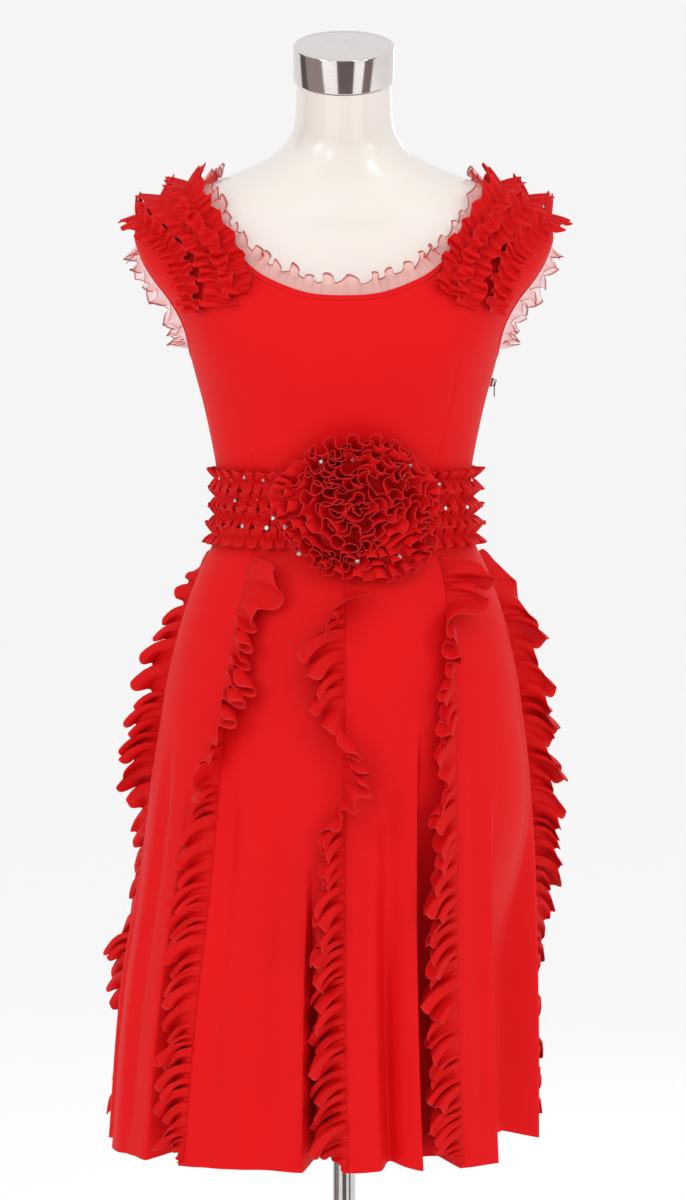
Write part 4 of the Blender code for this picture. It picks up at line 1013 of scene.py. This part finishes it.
def set_on_cloth(name, profile, places, normals, material, caps):
    """Copies of a profile turned in flat sides about each normal: one mesh for them all."""
    turn = (np.arange(STONE_SIDES) + 0.5) * 2 * np.pi / STONE_SIDES
    radius, tall = (np.array(profile) * STONE_RADIUS).T[:, :, None, None]
    grids = []
    for place, normal in zip(places, normals):
        side = unit(np.cross(normal, ASKEW))
        other = np.cross(normal, side)
        facets = np.cos(turn)[:, None] * side + np.sin(turn)[:, None] * other
        grids.append(place + radius * facets + tall * normal)
    made = surface(name, grids, material, loop=True, caps=caps)
    made.data.polygons.foreach_set("use_smooth", np.zeros(len(made.data.polygons), bool))
    fit(made)


def bright_silver(name, colour, roughness):
    """Silver under glass or lacquer: a bright mirror with a clear coat over it."""
    return plain_material(name, {"Base Color": linear(colour), "Metallic": 0.9,
                                 "Roughness": roughness, "Coat Weight": 0.5,
                                 "Coat Roughness": 0.03})


places, normals = stone_places()
set_on_cloth("rhinestones", STONE_PROFILE, places, normals,
             bright_silver("foil-backed glass, faceted", "#FAFAFC", 0.06), caps=True)
set_on_cloth("rhinestone_cups", CUP_PROFILE, places, normals,
             bright_silver("silver-plated brass, stamped", "#A8A4A2", 0.25), caps=False)


# Skirt: eight flared gores of the same crepe, sewn to each other and to the waistband. The
# cloth falls in deep folds beside the front seams, and in shallower ones round the back.

HEM = 0.441
SKIRT_WALL = 0.0009
# height, half width to the right and left, depth in front and behind
SKIRT = (
    (1.0121, 0.1247, 0.1247, 0.0902, 0.0855), (0.985, 0.138, 0.1375, 0.0985, 0.098),
    (0.94, 0.154, 0.153, 0.111, 0.1165), (0.885, 0.168, 0.165, 0.125, 0.129),
    (0.84, 0.1755, 0.1715, 0.1335, 0.137), (0.788, 0.184, 0.1775, 0.145, 0.146),
    (0.712, 0.1945, 0.1835, 0.155, 0.155), (0.579, 0.2155, 0.1885, 0.165, 0.164),
    (HEM, 0.2265, 0.1895, 0.172, 0.172),
)
SKIRT_SQUARE = 0.03
GORE_ROWS = 50
# columns between two fold lines: at least `least_steep` where their depths differ by more
# than `steep` metres, at least `least` elsewhere, and `whole` across a whole gore
GORE_COLUMNS = {"steep": 0.01, "least_steep": 9, "least": 4, "whole": 56}
# degrees and metres on either side of a point that the cone's normal is measured over
CONE_STEP = (0.25, 0.002)
WAIST_SEAM = SKIRT[0][0]
# seam name, and its angle at the waist, at mid skirt and at the hem
SEAMS = (
    ("front", 0.5, 0.0, 1.2), ("left_front", 42.5, 33.9, 35.0),
    ("left_side", 101.0, 102.0, 102.0), ("left_back", 139.0, 139.0, 139.0),
    ("back", 180.0, 180.0, 180.0), ("right_back", 221.0, 221.0, 221.0),
    ("right_side", 259.0, 258.0, 258.0), ("right_front", 319.5, 322.0, 320.0),
    ("front_again", 360.5, 360.0, 361.2),
)
# folds from each gore's first seam to its next: across, depth at the hem, where it begins
GORES = (
    ((0.0, 0.0, 0.74), (0.13, 0.0, 0.74), (0.26, 0.001, 0.74), (0.4, 0.014, 0.74),
     (0.52, 0.004, 0.74), (0.63, 0.0, 0.86), (0.68, 0.03, 0.86), (0.82, 0.031, 0.86),
     (0.925, 0.03, 0.86), (0.965, 0.0, 0.86), (1.0, 0.0, 0.86)),
    ((0.0, 0.0, 0.86), (0.1, 0.0, 0.8), (0.19, 0.0, 0.8), (0.245, 0.042, 0.8),
     (0.42, 0.045, 0.8), (0.62, 0.045, 0.8), (0.79, 0.039, 0.8), (0.87, 0.002, 0.8),
     (1.0, 0.002, 0.8)),
    ((0.0, 0.002, 0.8), (0.035, 0.002, 0.76), (0.09, 0.016, 0.76), (0.34, 0.018, 0.76),
     (0.51, 0.019, 0.82), (0.65, 0.008, 0.82), (0.82, 0.0, 0.82), (1.0, 0.004, 0.8)),
    ((0.0, 0.004, 0.8), (0.18, 0.0, 0.8), (0.36, 0.006, 0.78), (0.5, 0.018, 0.78),
     (0.65, 0.006, 0.78), (0.82, 0.0, 0.78), (1.0, 0.004, 0.8)),
    ((0.0, 0.004, 0.8), (0.17, 0.0, 0.8), (0.34, 0.007, 0.8), (0.49, 0.019, 0.8),
     (0.64, 0.007, 0.8), (0.82, 0.0, 0.8), (1.0, 0.004, 0.8)),
    ((0.0, 0.004, 0.8), (0.18, 0.0, 0.8), (0.34, 0.008, 0.8), (0.5, 0.017, 0.78),
     (0.66, 0.017, 0.76), (0.9, 0.016, 0.76), (0.955, 0.003, 0.76), (1.0, 0.003, 0.8)),
    ((0.0, 0.003, 0.8), (0.12, 0.0, 0.8), (0.22, 0.012, 0.8), (0.31, 0.021, 0.8),
     (0.42, 0.001, 0.8), (0.55, 0.0, 0.8), (0.68, 0.003, 0.8), (0.79, 0.0, 0.8),
     (0.825, 0.028, 0.8), (0.945, 0.029, 0.8), (0.975, 0.0, 0.8), (1.0, 0.0, 0.8)),
    ((0.0, 0.0, 0.8), (0.17, 0.0, 0.8), (0.34, 0.002, 0.8), (0.5, 0.004, 0.8),
     (0.73, 0.0, 0.735), (0.775, 0.034, 0.735), (0.86, 0.035, 0.735), (0.93, 0.034, 0.735),
     (0.965, 0.0, 0.735), (1.0, 0.0, 0.735)),
)
FOLD_GROWS = 0.22
HEM_RISE = 0.25
# soft creases, per gore: across at their top and foot, depth, half width in metres,
# top and foot; they fade over a height at their ends and over a share of the gore at seams
CREASE_FADE, CREASE_FOOT = 0.08, 0.35
SEWN_SHARE = 0.12
CREASES = (
    ((0.40, 0.43, 0.0120, 0.011, 0.82, 0.40), (0.20, 0.22, 0.0040, 0.010, 0.86, 0.44)),
    ((0.10, 0.12, 0.0040, 0.008, 0.85, 0.45), (0.60, 0.66, 0.0016, 0.012, 0.93, 0.70)),
    ((0.24, 0.20, 0.0018, 0.012, 0.90, 0.48), (0.70, 0.76, 0.0014, 0.010, 0.86, 0.55)),
    ((0.30, 0.24, 0.0016, 0.012, 0.92, 0.60), (0.74, 0.70, 0.0018, 0.010, 0.80, 0.47)),
    ((0.22, 0.28, 0.0018, 0.010, 0.86, 0.50), (0.66, 0.74, 0.0014, 0.013, 0.93, 0.62)),
    ((0.28, 0.22, 0.0016, 0.011, 0.88, 0.56), (0.60, 0.72, 0.0018, 0.012, 0.82, 0.48)),
    ((0.20, 0.14, 0.0014, 0.010, 0.90, 0.64), (0.60, 0.60, 0.0060, 0.011, 0.84, 0.44)),
    ((0.10, 0.15, 0.0050, 0.012, 0.82, 0.44), (0.55, 0.58, 0.0030, 0.014, 0.84, 0.46)),
)


def seam_angle(index, height):
    """Angle of a gore seam at a height: a parabola through waist, middle and hem."""
    _, waist, middle, hem = SEAMS[index]
    t = (WAIST_SEAM - height) / (WAIST_SEAM - HEM)
    return waist * 2 * (t - 0.5) * (t - 1) + middle * 4 * t * (1 - t) + hem * 2 * t * (t - 0.5)


def cone(angle, height, inward=0.0):
    """A point on the skirt's cone, a squared ellipse at each level, moved in to the axis."""
    angle, height = np.broadcast_arrays(np.asarray(angle, float), np.asarray(height, float))
    right, left, front, back = between(SKIRT, height)
    turn = np.radians(angle)
    fuller = 1 + SKIRT_SQUARE * (1 - np.cos(4 * turn)) / 2
    x = np.sin(turn) * np.where(np.sin(turn) > 0, left, right) * fuller
    y = -np.cos(turn) * np.where(np.cos(turn) > 0, front, back) * fuller
    shrink = 1 - inward / np.hypot(x, y)
    return np.stack((x * shrink, y * shrink, height), axis=-1)


def cone_frame(angle, height):
    """Outward normal and the level tangent towards the wearer's left on the cone."""
    turn, rise = CONE_STEP
    around = cone(angle + turn, height) - cone(angle - turn, height)
    up = cone(angle, height + rise) - cone(angle, height - rise)
    return unit(np.cross(around, up)), unit(around)


def fold_depth(fold, height):
    """How deep one line of a fold is at a height."""
    return fold[1] * ease((fold[2] - height) / FOLD_GROWS)


def gore_grid(number):
    """A gore: the cone, moved in by depths eased from one fold line to the next. Its hem
    rises by a part of the depth, as cloth does that is folded in.

    Creases add a bell-shaped trough along a line that drifts across as it goes down, and
    none reaches the seams.
    """
    folds = GORES[number]
    height = np.linspace(WAIST_SEAM, HEM, GORE_ROWS)[::-1, None]
    down = (WAIST_SEAM - height) / (WAIST_SEAM - HEM)
    first, last = seam_angle(number, height), seam_angle(number + 1, height)
    at, index = [], []
    for k, (left, right) in enumerate(zip(folds, folds[1:])):
        steep = abs(left[1] - right[1]) > GORE_COLUMNS["steep"]
        count = max(GORE_COLUMNS["least_steep" if steep else "least"],
                    round((right[0] - left[0]) * GORE_COLUMNS["whole"]))
        at.append(left[0] + (right[0] - left[0]) * np.arange(count) / count)
        index += [k] * count
    at, index = np.append(np.concatenate(at), 1.0), np.array(index + [len(folds) - 2])
    starts = np.array([fold[0] for fold in folds])
    depth = np.concatenate([fold_depth(fold, height) for fold in folds], axis=1)
    part = ease((at - starts[index]) / (starts[index + 1] - starts[index]))
    inward = depth[:, index] * (1 - part) + depth[:, index + 1] * part
    reach = np.linalg.norm(cone(first, height)[..., :2], axis=-1)
    width = np.radians(last - first) * reach
    for top_across, foot_across, deep, half, top, foot in CREASES[number]:
        share = np.clip((top - height) / (top - foot), 0, 1)
        off = (at - top_across - (foot_across - top_across) * share) * width
        strength = (ease((top - height) / CREASE_FADE)
                    * ease((height - foot) / CREASE_FADE + CREASE_FOOT))
        sewn = ease(at / SEWN_SHARE) * ease((1 - at) / SEWN_SHARE)
        inward = inward + deep * np.exp(-(off / half) ** 2) * strength * sewn
    grid = cone(first + (last - first) * at, height, inward)
    grid[..., 2] += HEM_RISE * inward * down ** 3
    return grid


for number in range(len(GORES)):
    grid = gore_grid(number)
    gore = surface("skirt_panel_" + SEAMS[number][0], [grid], RED_CREPE)
    wall(gore, SKIRT_WALL, -1.0)
    fit(gore, "skirt_gore_" + SEAMS[number][0])


# Skirt frills: a strip of crepe in each seam between two gores, cut on both sides with a raw
# edge and gathered by the seam, so it stands out, folds over to one side and curls.

# top, height in which it comes to full width, how deep its edge sinks low down, then rows
# of height, lean, width and wave there: a lean of 0 is straight out and + is to the wearer's
# left; a width of 1 is 37 mm and a wave of 1 is 0.9 mm
SKIRT_FRILLS = (
    (0.980, 0.014, 0.024, ((0.974, 58, 1.3, 4.0), (0.955, -24, 0.8, 4.5), (0.938, -60, 1.15, 6.5),
                   (0.875, -60, 0.95, 7.5), (0.845, 10, 0.85, 6.0), (0.805, 50, 0.95, 5.5),
                   (0.765, -46, 0.8, 8.5), (0.66, -64, 0.9, 10.5), (0.60, -74, 0.95, 10.0),
                   (0.44, -80, 0.98, 9.0))),
    (1.004, 0.01, 0.012, ((1.0, 62, 1.05, 6.0), (0.975, 60, 1.0, 7.0), (0.94, -35, 0.75, 7.5),
                   (0.88, -56, 0.85, 8.5), (0.76, -66, 0.95, 8.5), (0.70, -80, 0.92, 8.5),
                   (0.44, -84, 0.88, 8.5))),
    (1.004, 0.06, 0.004, ((1.0, 20, 1.0, 6.0), (0.9, 5, 1.0, 8.0), (0.78, 4, 1.0, 8.0),
                   (0.74, 24, 1.0, 8.0), (0.66, 55, 0.95, 7.0), (0.61, 80, 0.9, 6.0),
                   (0.44, 80, 0.9, 6.0))),
    (1.004, 0.02, 0.0, ((1.0, -45, 0.95, 6.0), (0.85, -48, 0.95, 7.0), (0.75, 46, 0.95, 7.0),
                   (0.6, 48, 0.95, 7.0), (0.44, -45, 0.95, 6.0))),
    (1.004, 0.02, 0.0, ((1.0, 48, 0.95, 6.0), (0.82, 46, 0.95, 7.0), (0.7, -46, 0.95, 7.0),
                   (0.58, -48, 0.95, 7.0), (0.44, 46, 0.95, 6.0))),
    (1.004, 0.02, 0.0, ((1.0, 45, 0.95, 6.0), (0.86, 48, 0.95, 7.0), (0.76, -46, 0.95, 7.0),
                   (0.62, -48, 0.95, 7.0), (0.44, 45, 0.95, 6.0))),
    (1.004, 0.10, 0.004, ((1.0, -50, 1.0, 5.0), (0.92, -34, 1.0, 7.0), (0.87, -18, 1.0, 8.0),
                   (0.81, 6, 1.0, 8.0), (0.755, -60, 1.0, 7.0), (0.67, -74, 0.9, 6.0),
                   (0.63, -50, 1.0, 7.0), (0.6, -50, 1.0, 7.0), (0.56, -80, 0.9, 6.0),
                   (0.44, -80, 0.9, 6.0))),
    (1.004, 0.01, 0.012, ((1.0, 72, 1.15, 6.0), (0.972, 70, 1.15, 7.0), (0.945, 62, 0.9, 8.5),
                   (0.88, 52, 1.0, 8.5), (0.845, 5, 0.8, 6.0), (0.79, -40, 0.7, 6.0),
                   (0.76, -64, 0.9, 7.5), (0.70, -76, 1.0, 7.0), (0.62, -80, 1.05, 7.0),
                   (0.55, -80, 0.88, 7.0), (0.44, -80, 0.80, 6.5))),
)
FRILL = {"width": 0.037, "waves": 40, "shorter": 0.36, "vary": 0.55, "columns": 16,
         "off": 0.0004, "aside": 0.0004, "wall": 0.0006, "droop": 34.0, "settles": 0.06,
         "curl": 0.34, "pucker": 0.0026, "pucker_turns": 2.1, "deep": 0.00092,
         "above_hem": 0.004, "taper": 0.035, "least": 0.25, "droop_at_top": 0.1,
         "even": 0.92, "uneven": 0.08, "lobe": 0.17, "sharp": 0.28, "clear": 0.7,
         "stand": 0.25, "rises_over": 0.05, "grow": 0.75, "sink_bend": 1.4}
# slow changes along a strip: size of the change, and its turns as parts of a gather's
SLOW = {"lean": (9, 0.29), "width": (0.15, 0.43), "swing": (0.16, 0.37)}
# where a strip lies flat: its lean in degrees and heights, with what each comes in over
FLAT = {"lean": 66, "over": 14, "below": 0.72, "fade": 0.12}


def along_frill(rows, column, height):
    """A column of a frill's rows at heights, eased from one row to the next."""
    found = np.full(height.shape, float(rows[0][column]))
    for high, low in zip(rows, rows[1:]):
        part = ease((high[0] - height) / (high[0] - low[0]))
        found = np.where(height < high[0], high[column] + (low[column] - high[column]) * part,
                         found)
    return found


def skirt_frill(number, seed):
    """A gathered strip: root + way * width * v, with waves square to the way.

    It droops as it goes out. Waves sin(phase) grow with v, are broad outside and sharp
    inside by cos(2 phase), and slide along the seam by -sin(2 phase), which curls them;
    small puckers die away from the seam. Waves stay clear of the gore at the seam, and where
    the strip lies flat its edge sinks between the folds. Its lean, width and swing also
    change slowly, by size * sin(turns * phase + seed).
    """
    top, grows, sinks, rows = SKIRT_FRILLS[number]
    share, phase, weight = uneven_waves(FRILL["waves"], FRILL["columns"], FRILL["vary"], seed)
    share = share + FRILL["shorter"] * share * (1 - share)
    end = HEM + FRILL["above_hem"]
    height = top + (end - top) * share
    angle = seam_angle(number, height)
    normal, level = cone_frame(angle, height)
    root = (cone(angle, height, fold_depth(GORES[number][0], height))
            + normal * FRILL["off"] - level * FRILL["aside"])
    down = unit_along(root)
    slow = {key: part * np.sin(turns * phase + seed) for key, (part, turns) in SLOW.items()}
    lean = np.radians(along_frill(rows, 1, height) + slow["lean"])[:, None]
    way = normal * np.cos(lean) + level * np.sin(lean)
    across = level * np.cos(lean) - normal * np.sin(lean)
    settled = ease((top - height) / FRILL["settles"])
    at_top, least = FRILL["droop_at_top"], FRILL["least"]
    droop = np.radians(FRILL["droop"]) * (at_top + (1 - at_top) * settled)
    begins = ease((top - height) / grows * (1 - least) + least)
    ends = least + (1 - least) * ease((height - end) / FRILL["taper"])
    wide = along_frill(rows, 2, height)
    deep = FRILL["deep"] * along_frill(rows, 3, height) * begins * ends * weight
    v = ACROSS[:, None]
    lobes = 1 + FRILL["lobe"] * np.sin(phase + 0.8) * weight * v + slow["width"]
    width = (FRILL["width"] * wide * begins * ends
             * (FRILL["even"] + FRILL["uneven"] * weight) * lobes)
    clear = -np.sin(lean[:, 0])
    swing = np.sin(phase) + FRILL["sharp"] * clear * np.cos(2 * phase) + slow["swing"]
    stands = FRILL["stand"] * (1 - np.exp(-v / FRILL["rises_over"]))
    wave = deep * (stands * (swing + clear) + FRILL["grow"] * v * swing)
    pucker = (FRILL["pucker"] * np.sqrt(v) * (1 - v)
              * (np.sin(FRILL["pucker_turns"] * phase) + FRILL["clear"] * clear))
    slide = -FRILL["curl"] * deep * np.sin(2 * phase) * v
    sag = np.sin(droop) * width * v * ends
    lies = ease((np.abs(np.degrees(lean[:, 0])) - FLAT["lean"]) / FLAT["over"])
    low = ease((FLAT["below"] - height) / FLAT["fade"])
    sink = sinks * lies * low * ends * v ** FRILL["sink_bend"]
    return (root + way * (width * np.cos(droop * v) * v)[..., None]
            + down * (sag * v + slide)[..., None]
            + across * (wave + pucker)[..., None] - normal * sink[..., None])


for number in range(len(SKIRT_FRILLS)):
    ruffle = surface("skirt_ruffle_" + SEAMS[number][0], [skirt_frill(number, 80 + number)],
                     SHADED_EDGE_LIT_FRILL_CREPE, edge=[CUT_EDGE[:, None]])
    wall(ruffle, FRILL["wall"], 0.0)
    fit(ruffle, "skirt_frill_" + SEAMS[number][0])


# Zip: a concealed coil zip in the left side seam, of which only the enamelled slider and its
# hinged pull tab show. Both are the frame's own pieces, which are already at real size.

# enamel hides the metal under an even dark red that is glossy but not mirror-like
ZIP_METAL = plain_material("red enamelled zinc, die cast",
                           {"Base Color": linear("#7C1418"), "Roughness": 0.35})
for name in ("zip_slider", "zip_pull"):
    bpy.data.objects[name].data.materials.clear()
    bpy.data.objects[name].data.materials.append(ZIP_METAL)


# Studio, for the picture only: a pale floor, an even white surround and soft boxes.

FLOOR_REACH = 12
CAMERA_PLACE = (0.0, -4.58879, 1.27988)
CAMERA_DOWN = 4.0
LENS = 145.3
# in the photo's pixels: the column of the pole's axis, the middle column and the height
PHOTO_AXIS, PHOTO_MIDDLE, PHOTO_TALL = 344.0, 343.0, 1200

floor_mesh = bpy.data.meshes.new("floor")
floor_mesh.from_pydata([(x * FLOOR_REACH, y * FLOOR_REACH, 0)
                        for x, y in ((-1, -1), (1, -1), (1, 1), (-1, 1))], [], [(0, 1, 2, 3)])
floor = bpy.data.objects.new("floor", floor_mesh)
bpy.context.scene.collection.objects.link(floor)
floor_mesh.materials.append(plain_material(
    "matt white floor paint", {"Base Color": linear("#FFFFFF"), "Roughness": 0.8}))

world = bpy.data.worlds.new("white studio")
bpy.context.scene.world = world
world.use_nodes = True
surround = world.node_tree.nodes["Background"]
surround.inputs["Color"].default_value = (0.965, 0.962, 0.965, 1)
surround.inputs["Strength"].default_value = 0.95


def soft_box(name, place, target, wide, tall, power):
    """A rectangular area light at a place, facing a target."""
    lamp = bpy.data.lights.new(name, "AREA")
    lamp.shape = "RECTANGLE"
    lamp.size = wide
    lamp.size_y = tall
    lamp.energy = power
    made = bpy.data.objects.new(name, lamp)
    made.location = place
    away = np.array(target, float) - place
    made.rotation_euler = (np.arctan2(np.hypot(away[0], away[1]), -away[2]), 0,
                           np.arctan2(away[1], away[0]) - np.pi / 2)
    bpy.context.scene.collection.objects.link(made)


soft_box("left", (-2.7, -2.7, 2.0), (0, 0, 0.95), 0.9, 2.2, 21)
soft_box("right", (2.8, -2.3, 1.9), (0, 0, 0.95), 0.9, 2.2, 17)
soft_box("low front", (-0.75, -2.45, 2.15), (0, 0, 1.3), 0.35, 0.6, 4)
soft_box("top", (0.9, -2.1, 3.3), (0, 0, 1.3), 0.5, 0.5, 7)
soft_box("rim", (1.12, 2.78, 1.9), (0, 0, 1.3), 0.4, 1.2, 5)

# grey cards that only mirrors see, so that polished metal shows dark bands: from and to
# angle round the object, and colour
CARDS = ((-116, -97, "#5A5250"), (-97, -53, "#9A8E8A"), (-17, 25, "#6C6260"), (49, 71, "#7E726E"))
CARD_RING = 1.25
CARD_FOOT, CARD_TALL = 0.01, 2.3
CARD_COLUMNS = 12
for number, (start, stop, colour) in enumerate(CARDS, 1):
    turn = np.radians(np.linspace(start, stop, CARD_COLUMNS))
    foot = np.stack((CARD_RING * np.sin(turn), -CARD_RING * np.cos(turn),
                     0 * turn + CARD_FOOT), axis=-1)
    card = surface("card_%d" % number, [np.stack((foot, foot + (0, 0, CARD_TALL)))],
                   plain_material("grey card %d" % number,
                                  {"Base Color": linear(colour), "Roughness": 0.9}))
    card.visible_camera = card.visible_diffuse = card.visible_shadow = False
    card.visible_transmission = False

camera = bpy.data.cameras.new("camera")
camera.lens = LENS
camera.sensor_width = 36
camera.shift_x = (PHOTO_MIDDLE - PHOTO_AXIS) / PHOTO_TALL
viewer = bpy.data.objects.new("camera", camera)
viewer.location = CAMERA_PLACE
viewer.rotation_euler = (np.radians(90 - CAMERA_DOWN), 0, 0)
bpy.context.scene.collection.objects.link(viewer)
bpy.context.scene.camera = viewer
bpy.context.scene.view_settings.view_transform = "Standard"
